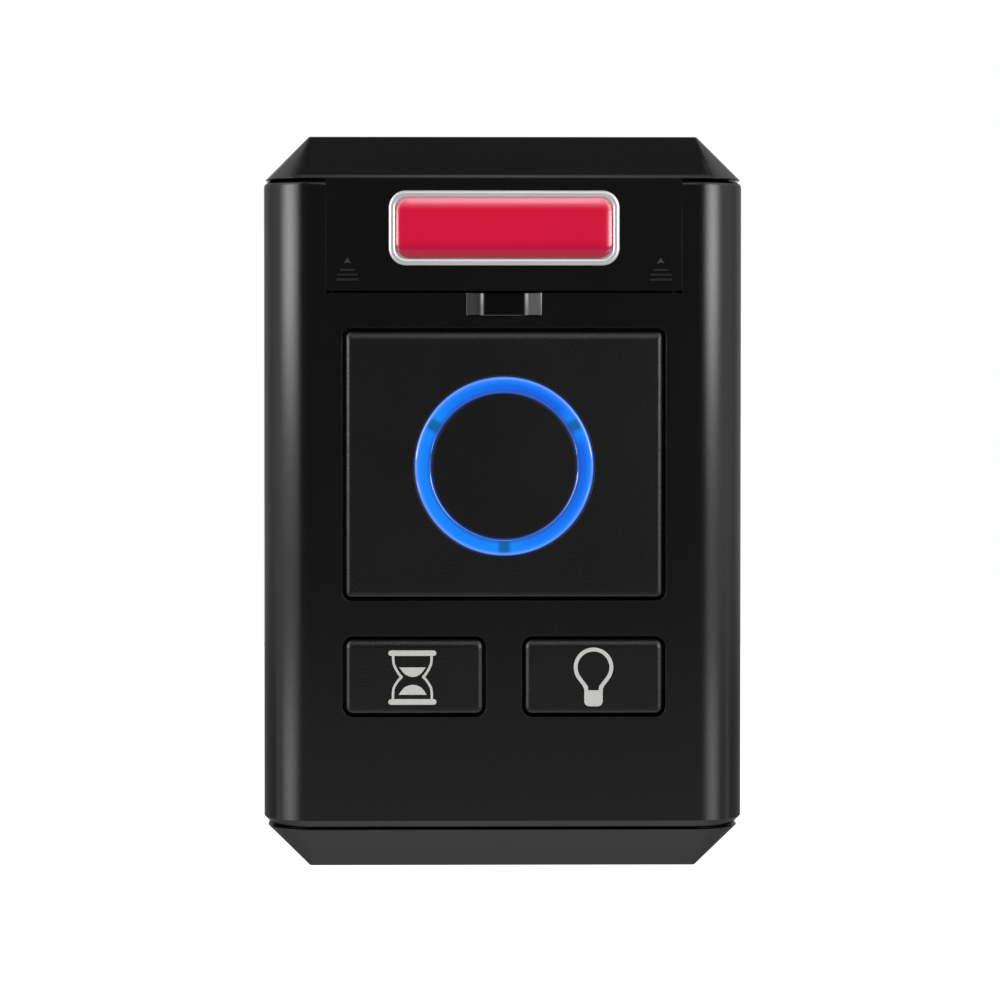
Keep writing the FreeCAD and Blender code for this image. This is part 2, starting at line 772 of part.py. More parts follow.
def make_cell(z, side):
    """One AAA cell with its positive nub towards the given side."""
    body_length = cell_length - cell_nub_length
    profile = [(0, 0), (cell_radius - cell_crimp, 0), (cell_radius, cell_crimp),
               (cell_radius, body_length - cell_crimp), (cell_radius - cell_crimp, body_length),
               (cell_nub_radius, body_length), (cell_nub_radius, cell_length), (0, cell_length)]
    points = [at(along, radius, 0) for radius, along in profile]
    cell = Part.Face(Part.makePolygon(points + points[:1])).revolve(at(0, 0, 0), at(1, 0, 0), 360)
    if side < 0:
        cell.rotate(at(0, 0, 0), at(0, 0, 1), 180)
    cell.translate(at(side * (contact_face - contact_dimple - cell_length), cell_y, z))
    return cell


def contact_plate(side, z0, z1, dimple_z):
    """Flat contact against an end wall, with a raised dimple for a cell's nub."""
    xs = sorted((side * contact_face, side * (contact_face + contact_thickness)))
    reach = cell_radius - contact_margin
    plate = block(*xs, cell_y - reach, cell_y + reach, z0, z1)
    if dimple_z is None:
        return plate
    dimple = Part.makeCone(cell_nub_radius + contact_dimple, cell_nub_radius, contact_dimple - touch,
                           at(side * contact_face, cell_y, dimple_z), at(-side, 0, 0))
    return plate.fuse(dimple)


def positive_tag_span():
    y0 = cell_y - cell_radius + contact_margin
    return (y0, y0 + tag_width)


def negative_tag_span():
    y1 = cell_y + cell_radius - contact_margin
    return (y1 - tag_width, y1)


def contact_tag(span, z_top):
    return block(contact_face, contact_face + contact_thickness, *span, floor_base - tag_drop, z_top)


def make_contact_bridge():
    return contact_plate(-1, floor_top + contact_margin, upper_z + cell_radius - contact_margin, upper_z)


def make_positive_contact():
    y0, y1 = negative_tag_span()
    plate = contact_plate(1, floor_top + contact_margin, lower_z + cell_radius - contact_margin, lower_z)
    plate = plate.cut(block(0, width, y0 - slip, y1 + overcut, bottom, top))
    return plate.fuse(contact_tag(positive_tag_span(), lower_z)).removeSplitter()


def make_negative_contact():
    reach = cell_radius - contact_margin
    plate = contact_plate(1, upper_z - reach, upper_z + reach, None)
    return plate.fuse(contact_tag(negative_tag_span(), upper_z)).removeSplitter()


def half_turn(p0, t0, p1, t1):
    """Two arcs that join two points with the given directions and one shared direction between."""
    v = p1 - p0
    t = t0 + t1
    k = 2 * (1 - t0.dot(t1))
    d = (math.sqrt(v.dot(t) ** 2 + k * v.dot(v)) - v.dot(t)) / k
    q0 = p0 + t0 * d
    q1 = p1 - t1 * d
    middle = (q0 + q1) * 0.5
    arcs = []
    for a, q, b in ((p0, q0, middle), (middle, q1, p1)):
        chord_mid = (a + b) * 0.5
        half_chord = (b - a).Length / 2
        rise = (q - chord_mid).Length
        bow = half_chord * math.tan(math.atan2(rise, half_chord) / 2)
        crown = chord_mid + (q - chord_mid).normalize() * bow
        arcs.append(Part.Arc(a, crown, b).toShape())
    return arcs


def coil_point(turn_share, side, z):
    """Point and direction on the spring's centre line, from plate to cell."""
    angle = 2 * math.pi * spring_turns * turn_share
    radius = spring_base_radius + (spring_tip_radius - spring_base_radius) * turn_share
    travel = spring_length - spring_wire - 2 * touch
    x = side * (contact_face - spring_wire / 2 - touch - travel * turn_share)
    point = at(x, cell_y + radius * math.cos(angle), z + radius * math.sin(angle))
    slope = (spring_tip_radius - spring_base_radius) / (2 * math.pi * spring_turns)
    heading = at(-side * travel / (2 * math.pi * spring_turns),
                 slope * math.cos(angle) - radius * math.sin(angle),
                 slope * math.sin(angle) + radius * math.cos(angle))
    return point, heading.normalize()


def make_spring(side, z):
    """Cone-shaped contact spring wound as one wire, in half turns."""
    steps = 2 * spring_turns
    edges = []
    for step in range(steps):
        p0, t0 = coil_point(step / steps, side, z)
        p1, t1 = coil_point((step + 1) / steps, side, z)
        edges += half_turn(p0, t0, p1, t1)
    start, heading = coil_point(0, side, z)
    section = wire_section(start, heading, spring_wire / 2)
    return Part.Wire(edges).makePipeShell([section], True, False)


def spring_gap():
    """Least gap between the spring's neighbouring turns, measured on its centre line."""
    points = [coil_point(index / spring_samples, 1, 0)[0] for index in range(spring_samples + 1)]
    half_a_turn = spring_samples // (2 * spring_turns)
    least = far
    for index, point in enumerate(points):
        for other in points[index + half_a_turn:]:
            least = min(least, (other - point).Length)
    return least - spring_wire


def make_lead(span, end_x):
    """Insulated lead from a contact's tag, round the board's edge if need be, to its front."""
    start_y = sum(span) / 2
    front_y = sum(positive_tag_span()) / 2
    z0 = floor_base - tag_drop + lead_radius
    z1 = z0 - lead_fall
    points = [at(contact_face, start_y, z0), at(end_x, start_y, z0)]
    if start_y > front_y:
        points.append(at(end_x, front_y, z0))
    points += [at(end_x, front_y, z1), at(end_x, board_front, z1)]
    return bent_tube(points, lead_radius, lead_bend)


def make_screw(x, z, head, shank, y_ends):
    """A plain-shanked screw; y_ends are its two head faces and its tip."""
    y0, y1, tip = y_ends
    disc = many_sided(x, z, head, min(y0, y1), max(y0, y1), post_sides)
    return disc.fuse(many_sided(x, z, shank, min(tip, y1), max(tip, y1), screw_sides))


def make_case_screws():
    """Four screws that hold the front shell's bosses from behind."""
    head_front = -case_head_sink - case_head_height
    tip = column_end - case_screw_grip + screw_tip_gap
    screws = []
    for x, z in four_sided(case_x, (case_low_z, case_high_z)):
        screws.append(make_screw(x, z, case_head_radius, case_screw_radius,
                                 (-case_head_sink, head_front, tip)))
    return Part.makeCompound(screws)


def make_board_screws():
    """Four screws that hold the board on the housing's posts."""
    tip = board_front + board_screw_length - screw_tip_gap
    screws = []
    for x, z in four_sided(board_screw_x, board_screw_z):
        screws.append(make_screw(x, z, board_head_radius, board_screw_radius,
                                 (board_front - board_head_height, board_front, tip)))
    return Part.makeCompound(screws)


def make_parts():
    parts = {
        "front_shell": make_front_shell(),
        "rear_housing": make_rear_housing(),
        "battery_cover": make_battery_cover(),
        "nameplate_base": make_nameplate_base(),
        "nameplate_face": make_nameplate_face(),
        "door_button": make_door_button(),
        "light_ring": make_light_ring(),
        "timer_button": make_key(-1),
        "lamp_button": make_key(1),
        "circuit_board": make_circuit_board(),
        "ring_leds": make_ring_leds(),
        "light_baffle": make_light_baffle(),
        "controller_chip": make_controller_chip(),
        "radio_module": make_radio_module(),
        "antenna_wire": make_antenna_wire(),
        "smoothing_capacitor": make_capacitor(),
        "battery_upper": make_cell(upper_z, -1),
        "battery_lower": make_cell(lower_z, 1),
        "contact_bridge": make_contact_bridge(),
        "positive_contact": make_positive_contact(),
        "negative_contact": make_negative_contact(),
        "upper_spring": make_spring(1, upper_z),
        "lower_spring": make_spring(-1, lower_z),
        "positive_lead": make_lead(positive_tag_span(), board_screw_x - lead_inset),
        "negative_lead": make_lead(negative_tag_span(), board_screw_x - lead_inset - lead_pitch),
        "case_screws": make_case_screws(),
        "board_screws": make_board_screws(),
    }
    for name, x, z in (("door", 0, door_z), ("timer", -key_x, key_z), ("lamp", key_x, key_z)):
        parts[name + "_switch_body"] = make_switch_body(x, z)
        parts[name + "_switch_plunger"] = make_switch_plunger(x, z)
    return parts


os.makedirs("parts", exist_ok=True)
for part_name, part_shape in make_parts().items():
    part_shape.exportStep("parts/" + part_name + ".step")
    print(part_name, len(part_shape.Solids), round(part_shape.Volume, 2), part_shape.isValid())
print("gap between the spring's turns", round(spring_gap(), 2))
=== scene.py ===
import json
import math
import bmesh
import bpy
from mathutils import Matrix, Vector


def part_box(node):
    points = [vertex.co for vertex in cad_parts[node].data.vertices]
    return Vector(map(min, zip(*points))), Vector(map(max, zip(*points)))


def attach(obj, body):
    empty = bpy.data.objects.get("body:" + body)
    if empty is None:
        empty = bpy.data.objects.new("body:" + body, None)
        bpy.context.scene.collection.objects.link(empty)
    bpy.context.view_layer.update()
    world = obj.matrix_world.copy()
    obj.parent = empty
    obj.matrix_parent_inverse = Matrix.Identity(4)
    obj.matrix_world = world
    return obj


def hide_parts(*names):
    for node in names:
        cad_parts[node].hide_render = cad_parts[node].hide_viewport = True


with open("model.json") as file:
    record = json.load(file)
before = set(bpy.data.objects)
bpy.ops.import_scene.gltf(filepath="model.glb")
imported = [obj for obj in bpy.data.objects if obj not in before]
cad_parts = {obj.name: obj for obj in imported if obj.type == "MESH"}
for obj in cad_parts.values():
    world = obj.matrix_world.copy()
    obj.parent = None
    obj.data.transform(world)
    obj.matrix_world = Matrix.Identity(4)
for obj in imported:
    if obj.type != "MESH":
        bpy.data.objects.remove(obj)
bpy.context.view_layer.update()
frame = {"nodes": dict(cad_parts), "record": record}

mm = 0.001
nodes = frame["nodes"]
materials = {}
slotOfNode = {row["node"]: row["material_slot"] for row in frame["record"]["subparts"]}


# Shape helpers, all in millimetres

foldShare = math.sqrt(2) - 1                    # how far a 45 degree fold moves on the inside of a wall


def nodeBox(node):
    lo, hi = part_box(node)
    return lo / mm, hi / mm


def middleOf(node):
    lo, hi = nodeBox(node)
    return (lo + hi) / 2


def placeObject(name, data):
    placed = bpy.data.objects.new(name, data)
    bpy.context.scene.collection.objects.link(placed)
    return placed


def weld(mesh, fixNormals=True):
    work = bmesh.new()
    work.from_mesh(mesh)
    bmesh.ops.remove_doubles(work, verts=work.verts, dist=1e-7)
    if fixNormals:
        bmesh.ops.recalc_face_normals(work, faces=work.faces)
    work.to_mesh(mesh)
    work.free()


def newPiece(name, verts, faces, fixNormals=True):
    mesh = bpy.data.meshes.new(name)
    mesh.from_pydata([Vector(v) * mm for v in verts], [], faces)
    weld(mesh, fixNormals)
    return placeObject(name, mesh)


def loftRings(name, rings, closed=False):
    count = len(rings[0])
    verts = [point for ring in rings for point in ring]
    faces = []
    for row in range(len(rings) if closed else len(rings) - 1):
        a, b = row * count, (row + 1) % len(rings) * count
        for k in range(count):
            n = (k + 1) % count
            faces.append((a + k, a + n, b + n, b + k))
    if not closed:
        faces += [tuple(range(count)), tuple(range(len(verts) - count, len(verts)))]
    return newPiece(name, verts, faces)


def softened(points, radius, steps=4):          # a flat path with its corners rounded
    out = [tuple(points[0])]
    for before, corner, after in zip(points, points[1:], points[2:]):
        a, b, c = Vector(before), Vector(corner), Vector(after)
        ahead, away = (b - a).normalized(), (c - b).normalized()
        turn = ahead.angle(away)
        if turn < 0.02:
            out.append(tuple(b))
            continue
        reach = min(radius * math.tan(turn / 2), 0.45 * (b - a).length, 0.45 * (c - b).length)
        bend = reach / math.tan(turn / 2)
        side = (away - ahead * math.cos(turn)).normalized()
        centre = b - ahead * reach + side * bend
        for k in range(steps + 1):
            angle = turn * k / steps
            out.append(tuple(centre - side * bend * math.cos(angle) + ahead * bend * math.sin(angle)))
    out.append(tuple(points[-1]))
    return out


def newPlan(half, front, back, radius, steps=24):
    return {"half": half, "front": front, "back": back, "radius": radius, "steps": steps}


def inside(plan, wall, back):                   # the plan of the hollow behind a wall
    return newPlan(plan["half"] - wall, plan["front"] + wall, back, plan["radius"] - wall, plan["steps"])


def planOutline(plan, inset):                   # flat front, round front corners, straight sides
    half, near = plan["half"] - inset, plan["front"] + inset
    radius = max(plan["radius"] - inset, 0.02)
    left = [(-half, plan["back"])]
    for k in range(plan["steps"] + 1):
        angle = math.pi / 2 * k / plan["steps"]
        left.append((-half + radius * (1 - math.cos(angle)), near + radius * (1 - math.sin(angle))))
    return left + [(-x, y) for x, y in reversed(left)]


def planLoft(name, plan, levels):               # levels are (inset, height)
    return loftRings(name, [[(x, y, z) for x, y in planOutline(plan, inset)] for inset, z in levels])


def planWall(name, plan, section):              # a closed (inset, height) section swept round the plan
    outlines = [planOutline(plan, inset) for inset, z in section]
    rings = []
    for k in range(len(outlines[0])):
        rings.append([(line[k][0], line[k][1], z) for line, (inset, z) in zip(outlines, section)])
    return loftRings(name, rings)


def plateOutline(centre, size, radius, inset, steps, topShare):
    halfW, halfH = size[0] / 2 - inset, size[1] / 2 - inset
    lowered = max(inset, 0) * (topShare - 1)
    bend = max(radius - inset, 0.01)
    points = []
    for corner, (sx, sz) in enumerate(((1, 1), (-1, 1), (-1, -1), (1, -1))):
        for k in range(steps + 1):
            angle = math.pi / 2 * (corner + k / steps)
            points.append((centre[0] + sx * (halfW - bend) + bend * math.cos(angle),
                           centre[1] + sz * (halfH - bend) + bend * math.sin(angle)
                           - (lowered if sz > 0 else 0)))
    return points


def plateLoft(name, centre, size, radius, levels, steps=8, topShare=1.0):    # levels are (inset, y)
    rings = []
    for inset, y in levels:
        outline = plateOutline(centre, size, radius, inset, steps, topShare)
        rings.append([(x, y, z) for x, z in outline])
    return loftRings(name, rings)


def circlePoints(steps):
    angles = [2 * math.pi * k / steps for k in range(steps)]
    return [(math.cos(angle), math.sin(angle)) for angle in angles]


def turned(name, centre, levels, steps):        # levels are (radius, y), turned about Y
    return loftRings(name, [[(centre[0] + radius * c, y, centre[1] + radius * s)
                             for c, s in circlePoints(steps)] for radius, y in levels])


def alongX(name, y, z, levels, steps=64):       # levels are (radius, x), turned about X
    return loftRings(name, [[(x, y + radius * c, z + radius * s) for c, s in circlePoints(steps)]
                            for radius, x in levels])


def peg(name, centre, radius, front, back, steps=32):
    return turned(name, centre, [(radius, front), (radius, back)], steps)


def block(name, lo, hi):
    corners = [(x, y, z) for x in (lo[0], hi[0]) for y in (lo[1], hi[1]) for z in (lo[2], hi[2])]
    faces = [(0, 1, 3, 2), (4, 6, 7, 5), (0, 4, 5, 1), (2, 3, 7, 6), (0, 2, 6, 4), (1, 5, 7, 3)]
    return newPiece(name, corners, faces)


def windowCutter(centre, size, radius, near, far, soft):    # its mouth is rounded and flared
    firstAngle, proud = math.radians(20), 0.3
    levels = []
    for k in range(5):
        angle = firstAngle + (math.pi / 2 - firstAngle) * k / 4
        levels.append((-soft * (1 - math.sin(angle)), near + soft * (1 - math.cos(angle))))
    reach = (levels[0][1] - near + proud) / math.tan(firstAngle)
    levels = [(levels[0][0] - reach, near - proud)] + levels + [(0, far)]
    return plateLoft("cutter", centre, size, radius, levels)


def bake(piece):                                # modifiers' result becomes the piece's own mesh
    graph = bpy.context.evaluated_depsgraph_get()
    mesh = bpy.data.meshes.new_from_object(piece.evaluated_get(graph))
    piece.modifiers.clear()
    piece.data = mesh


def combine(piece, others, how):
    for other in others:
        step = piece.modifiers.new(how, "BOOLEAN")
        step.operation = how
        step.solver = "EXACT"
        step.object = other
    bake(piece)
    for other in others:
        bpy.data.objects.remove(other)


def settle(piece, body, slot, replaced=(), crease=32):
    mesh = piece.data
    mesh.validate()                             # drops faces that a Boolean doubled
    mesh.name = piece.name
    mesh.shade_smooth()
    mesh.set_sharp_from_angle(angle=math.radians(crease))
    weights = piece.modifiers.new("evenNormals", "WEIGHTED_NORMAL")
    weights.keep_sharp = True
    mesh.materials.clear()
    mesh.materials.append(materials[slot])
    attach(piece, body)
    if replaced:
        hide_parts(*replaced)


# Node helpers

def fill(tree, node, values):                   # links sockets, and sets values and settings
    for key, value in values.items():
        socket = node.inputs.get(key.replace("_", " "))
        if isinstance(value, bpy.types.NodeSocket):
            tree.links.new(value, socket)
        elif socket is None:
            setattr(node, key, value)
        else:
            socket.default_value = value
    return node


def addNode(tree, kind, **values):
    return fill(tree, tree.nodes.new(kind), values)


def splitAxes(tree, vector):
    return addNode(tree, "ShaderNodeSeparateXYZ", Vector=vector).outputs


def joinAxes(tree, **values):
    return addNode(tree, "ShaderNodeCombineXYZ", **values).outputs[0]


def calc(tree, operation, *values, clamp=False):
    node = addNode(tree, "ShaderNodeMath", operation=operation, use_clamp=clamp)
    for slot, value in enumerate(values):
        if isinstance(value, bpy.types.NodeSocket):
            tree.links.new(value, node.inputs[slot])
        else:
            node.inputs[slot].default_value = value
    return node.outputs[0]


def ramp(tree, value, lowIn, highIn, lowOut=0.0, highOut=1.0):
    return addNode(tree, "ShaderNodeMapRange", interpolation_type="SMOOTHSTEP", Value=value, From_Min=lowIn,
                   From_Max=highIn, To_Min=lowOut, To_Max=highOut).outputs["Result"]


def mixValue(tree, share, first, second):
    return addNode(tree, "ShaderNodeMix", Factor=share, A=first, B=second).outputs[0]


def mixColour(tree, share, first, second):
    node = addNode(tree, "ShaderNodeMix", data_type="RGBA")
    tree.links.new(share, node.inputs[0])
    for slot, value in ((6, first), (7, second)):
        if isinstance(value, tuple):
            node.inputs[slot].default_value = (*value, 1)
        else:
            tree.links.new(value, node.inputs[slot])
    return node.outputs[2]


def newGroup(name, inputs, outputs):
    group = bpy.data.node_groups.new(name, "ShaderNodeTree")
    group.interface.new_socket("Vector", in_out="INPUT", socket_type="NodeSocketVector")
    for label, value in inputs.items():
        socket = group.interface.new_socket(label, in_out="INPUT", socket_type="NodeSocketFloat")
        socket.default_value = value
    for label in outputs:
        group.interface.new_socket(label, in_out="OUTPUT", socket_type="NodeSocketFloat")
    return group, group.nodes.new("NodeGroupInput").outputs


def grainGroup():                               # spark-eroded tool texture: fine bumps and soft patches
    group, given = newGroup("mouldGrain", {"Grain Size": 0.35, "Patchiness": 0.06},
                            ("Height", "Shift", "Patch"))
    frequency = calc(group, "DIVIDE", 1 / mm, given["Grain Size"])
    fine = addNode(group, "ShaderNodeTexNoise", Vector=given["Vector"], Scale=frequency, Detail=3.0,
                   Roughness=0.6).outputs["Fac"]
    broad = addNode(group, "ShaderNodeTexNoise", Vector=given["Vector"], Scale=55.0,
                    Detail=2.0).outputs["Fac"]
    shift = calc(group, "MULTIPLY", calc(group, "SUBTRACT", broad, 0.5), given["Patchiness"])
    addNode(group, "NodeGroupOutput", Height=fine, Shift=shift, Patch=broad)
    return group


def handlingGroup():                            # faint dust and hairline scuffs
    group, given = newGroup("handling", {"Amount": 0.2}, ("Mask",))
    stretch = addNode(group, "ShaderNodeMapping", vector_type="TEXTURE", Vector=given["Vector"],
                      Rotation=(0.0, 0.35, 0.0), Scale=(1.0, 1.0, 12.0))
    scuffs = addNode(group, "ShaderNodeTexNoise", Vector=stretch.outputs["Vector"], Scale=2600.0,
                     Detail=2.0)
    specks = addNode(group, "ShaderNodeTexNoise", Vector=given["Vector"], Scale=900.0, Detail=4.0,
                     Roughness=0.7)
    both = calc(group, "MAXIMUM", ramp(group, scuffs.outputs["Fac"], 0.66, 0.78),
                ramp(group, specks.outputs["Fac"], 0.64, 0.74))
    addNode(group, "NodeGroupOutput", Mask=calc(group, "MULTIPLY", both, given["Amount"]))
    return group


mouldGrain, handling = grainGroup(), handlingGroup()


def grainOn(tree, place, size, patchiness):
    return addNode(tree, "ShaderNodeGroup", node_tree=mouldGrain, Vector=place, Grain_Size=size,
                   Patchiness=patchiness).outputs


def newMaterial(name):
    material = bpy.data.materials.new(name)
    material.use_nodes = True
    materials[name] = material
    tree = material.node_tree
    return tree, tree.nodes["Principled BSDF"], tree.nodes.new("ShaderNodeTexCoord").outputs["Object"]


def surface(name, colour, dust, roughness, grain, bump, patchiness, scuff, metallic=0.0, **shaderValues):
    tree, shader, place = newMaterial(name)
    texture = grainOn(tree, place, grain, patchiness)
    handled = addNode(tree, "ShaderNodeGroup", node_tree=handling, Vector=place, Amount=scuff).outputs[0]
    patch = calc(tree, "MULTIPLY", texture["Patch"], 0.5)
    mixed = mixColour(tree, patch, colour, tuple(c * 1.25 for c in colour))
    rough = calc(tree, "ADD", texture["Shift"], roughness)
    relief = addNode(tree, "ShaderNodeBump", Strength=bump, Distance=grain * mm * 0.2,
                     Height=texture["Height"])
    fill(tree, shader, {"Base Color": mixColour(tree, handled, mixed, dust), "Metallic": metallic,
                        "Roughness": calc(tree, "MULTIPLY_ADD", handled, 0.3, rough, clamp=True),
                        "Normal": relief.outputs["Normal"], **shaderValues})
    return tree, shader, place


# Finishes

blackPlastic = ((0.0014, 0.0014, 0.0012), (0.012, 0.012, 0.011))
finishLook = {      # colour, dust, roughness, grain, bump, patchiness, scuffs and, for metals, how metallic
    "shell_plastic": (*blackPlastic, 0.2, 0.32, 0.12, 0.04, 0.06),
    "housing_plastic": (*blackPlastic, 0.38, 0.5, 0.3, 0.06, 0.06),
    "button_plastic": (*blackPlastic, 0.28, 0.42, 0.35, 0.07, 0.06),
    "scoopGloss": (*blackPlastic, 0.13, 0.9, 0.03, 0.02, 0.06),
    "rim_metal": ((0.6, 0.6, 0.61), (0.45, 0.45, 0.45), 0.3, 0.5, 0.05, 0.04, 0.05, 0.55),
    "board_green": ((0.012, 0.11, 0.04), (0.1, 0.16, 0.1), 0.35, 0.6, 0.2, 0.1, 0.1),
    "led_clear": ((0.7, 0.78, 0.9), (0.6, 0.6, 0.6), 0.2, 0.4, 0.05, 0.05, 0.02),
    "baffle_white": ((0.78, 0.78, 0.75), (0.6, 0.58, 0.55), 0.5, 0.4, 0.2, 0.08, 0.08),
    "chip_black": ((0.02, 0.02, 0.021), (0.1, 0.1, 0.1), 0.55, 0.15, 0.4, 0.08, 0.05),
    "shield_can": ((0.62, 0.62, 0.6), (0.4, 0.4, 0.4), 0.3, 0.5, 0.12, 0.12, 0.15, 1.0),
    "copper_wire": ((0.7, 0.33, 0.14), (0.3, 0.15, 0.08), 0.25, 0.3, 0.1, 0.1, 0.1, 1.0),
    "capacitor_sleeve": ((0.03, 0.035, 0.07), (0.1, 0.1, 0.12), 0.28, 0.5, 0.05, 0.06, 0.05),
    "contact_nickel": ((0.66, 0.64, 0.6), (0.35, 0.33, 0.3), 0.24, 0.3, 0.12, 0.1, 0.15, 1.0),
    "lead_red": ((0.5, 0.02, 0.02), (0.3, 0.1, 0.1), 0.35, 0.4, 0.1, 0.06, 0.08),
    "lead_black": ((0.015, 0.015, 0.015), (0.08, 0.08, 0.08), 0.35, 0.4, 0.1, 0.06, 0.08),
    "screw_steel": ((0.5, 0.51, 0.53), (0.25, 0.25, 0.26), 0.3, 0.25, 0.25, 0.12, 0.3, 1.0),
    "switch_black": ((0.02, 0.02, 0.02), (0.08, 0.08, 0.08), 0.45, 0.3, 0.3, 0.06, 0.05),
    "plunger_white": ((0.75, 0.75, 0.73), (0.5, 0.5, 0.5), 0.4, 0.3, 0.1, 0.06, 0.05),
    "pictogramInk": ((0.47, 0.47, 0.455), (0.3, 0.3, 0.3), 0.5, 0.2, 0.15, 0.06, 0.15),
}
# the field's pale top band is a painted highlight, and its darker low band is painted shade
fieldLook = {"deep": (0.56, 0.004, 0.036), "dust": (0.5, 0.08, 0.1), "paintedHighlight": (0.84, 0.19, 0.26),
             "paintedHighlightBand": (2.6, 4.4), "low": (0.36, 0.001, 0.035), "paintedShadeBand": (-4.2, -1.5)}
# the rim colour is a painted highlight along the ring's outer edge, laid into its glow
ringLight = {"inner": 10.45, "outer": 13.0, "bridges": (30, 150, 270), "bridgeHalf": 0.85,
             "core": (0.0015, 0.105, 0.72), "outward": (0.007, 0.185, 0.86), "bright": (0.004, 0.25, 0.97),
             "shade": (0.001, 0.105, 0.3), "rim": (0.11, 0.27, 0.93), "end": (0.03, 0.06, 0.26),
             "lip": (0.012, 0.045, 0.26), "brightSide": 215, "power": 1.0, "resin": (0.002, 0.02, 0.1),
             "resinPatch": (0.003, 0.03, 0.14)}
cellLook = {"sleeve": (0.016, 0.017, 0.02), "dust": (0.1, 0.1, 0.1), "band": (0.55, 0.3, 0.09),
            "bandFrom": 7.0}


def makeFieldRed():                             # domed resin over a red with a painted highlight along its top and painted shade along its bottom
    tree, shader, place = surface("field_red", fieldLook["deep"], fieldLook["dust"], 0.16, 0.9, 0.02, 0.03,
                                  0.03, Coat_Weight=0.8, Coat_Roughness=0.06)
    up = calc(tree, "MULTIPLY_ADD", splitAxes(tree, place)["Z"], 1 / mm, -middleOf("nameplate_face").z)
    colour = shader.inputs["Base Color"].links[0].from_socket
    # painted highlight: the red pales along the field's top; painted shade: it darkens along its bottom
    colour = mixColour(tree, ramp(tree, up, *fieldLook["paintedHighlightBand"]), colour, fieldLook["paintedHighlight"])
    colour = mixColour(tree, ramp(tree, up, *fieldLook["paintedShadeBand"], 1.0, 0.0), colour, fieldLook["low"])
    tree.links.new(colour, shader.inputs["Base Color"])


def makeRingBlue():
    tree, shader, place = newMaterial("ring_blue")
    axes = splitAxes(tree, place)
    across = calc(tree, "MULTIPLY", axes["X"], 1 / mm)
    up = calc(tree, "MULTIPLY_ADD", axes["Z"], 1 / mm, -middleOf("light_ring").z)
    squares = calc(tree, "ADD", calc(tree, "MULTIPLY", across, across), calc(tree, "MULTIPLY", up, up))
    radius = calc(tree, "SQRT", squares)

    def alongRay(angle):                        # distances along and aside of a ray from the centre
        sine, cosine = math.sin(math.radians(angle)), math.cos(math.radians(angle))
        return (calc(tree, "MULTIPLY_ADD", across, cosine, calc(tree, "MULTIPLY", up, sine)),
                calc(tree, "MULTIPLY_ADD", across, -sine, calc(tree, "MULTIPLY", up, cosine)))

    nearest = None                              # distance aside of the nearest bridge
    for angle in ringLight["bridges"]:
        along, aside = alongRay(angle)
        behind = calc(tree, "LESS_THAN", along, 0.0)
        apart = calc(tree, "MULTIPLY_ADD", behind, 50.0, calc(tree, "ABSOLUTE", aside))
        nearest = apart if nearest is None else calc(tree, "MINIMUM", nearest, apart)
    brightward = alongRay(ringLight["brightSide"])[0]
    inner, outer, half = ringLight["inner"], ringLight["outer"], ringLight["bridgeHalf"]
    colour = mixColour(tree, ramp(tree, radius, inner + 1.1, inner + 1.9), ringLight["core"],
                       ringLight["outward"])
    # the rim entry paints a highlight into the glow all round the outer edge
    for key, *mask in (("bright", brightward, -outer, outer, 0.0, 0.75),
                       ("bright", nearest, half, 3.6, 0.7, 0.0),
                       ("shade", nearest, half * 0.45, half * 1.5, 1.0, 0.0),
                       ("rim", radius, outer - 0.75, outer - 0.3, 0.0, 0.8),
                       ("end", radius, outer - 0.22, outer),
                       ("lip", radius, inner + 0.1, inner + 0.95, 1.0, 0.0)):
        colour = mixColour(tree, ramp(tree, *mask), colour, ringLight[key])
    grain = grainOn(tree, place, 0.8, 0.04)
    resin = mixColour(tree, grain["Patch"], ringLight["resin"], ringLight["resinPatch"])
    fill(tree, shader, {"Base Color": resin, "Roughness": calc(tree, "ADD", grain["Shift"], 0.1),
                        "Emission Color": colour, "Emission Strength": ringLight["power"], "IOR": 1.49,
                        "Coat Weight": 1.0, "Coat Roughness": 0.04})


def makeCellWrap():                             # plain two-tone sleeve: a copper-coloured end, a dark rest
    tree, shader, place = surface("cell_wrap", cellLook["sleeve"], cellLook["dust"], 0.24, 0.9, 0.03, 0.05,
                                  0.1, Coat_Weight=0.4, Coat_Roughness=0.1)
    axes = splitAxes(tree, place)
    x = calc(tree, "MULTIPLY", axes["X"], 1 / mm)
    between = (nodeBox("battery_upper")[0].z + nodeBox("battery_lower")[1].z) / 2
    isUpper = calc(tree, "GREATER_THAN", axes["Z"], between * mm)
    towardsNose = calc(tree, "MULTIPLY", x, calc(tree, "MULTIPLY_ADD", isUpper, -2.0, 1.0))
    inBand = ramp(tree, towardsNose, cellLook["bandFrom"], cellLook["bandFrom"] + 0.1)
    sleeve = shader.inputs["Base Color"].links[0].from_socket
    fill(tree, shader, {"Base Color": mixColour(tree, inBand, sleeve, cellLook["band"]),
                        "Metallic": calc(tree, "MULTIPLY", inBand, 0.85)})


def makeFinishes():
    for name, values in finishLook.items():
        surface(name, *values)
    makeFieldRed()
    makeRingBlue()
    makeCellWrap()
    print("finishes made", len(materials))


# Geometry Nodes helpers

def newNodesTree(name, **inputs):               # inputs are label=kind, and every tree takes a Finish
    tree = bpy.data.node_groups.new(name, "GeometryNodeTree")
    for label, kind in {"Geometry": "Geometry", **inputs, "Finish": "Material"}.items():
        tree.interface.new_socket(label.replace("_", " "), in_out="INPUT", socket_type="NodeSocket" + kind)
    tree.interface.new_socket("Geometry", in_out="OUTPUT", socket_type="NodeSocketGeometry")
    return tree, tree.nodes.new("NodeGroupInput").outputs


def endTree(tree, given, geometry):             # real meshes with the finish set
    real = addNode(tree, "GeometryNodeRealizeInstances", Geometry=geometry)
    finish = addNode(tree, "GeometryNodeSetMaterial", Geometry=real.outputs[0], Material=given["Finish"])
    addNode(tree, "NodeGroupOutput", Geometry=finish.outputs[0])


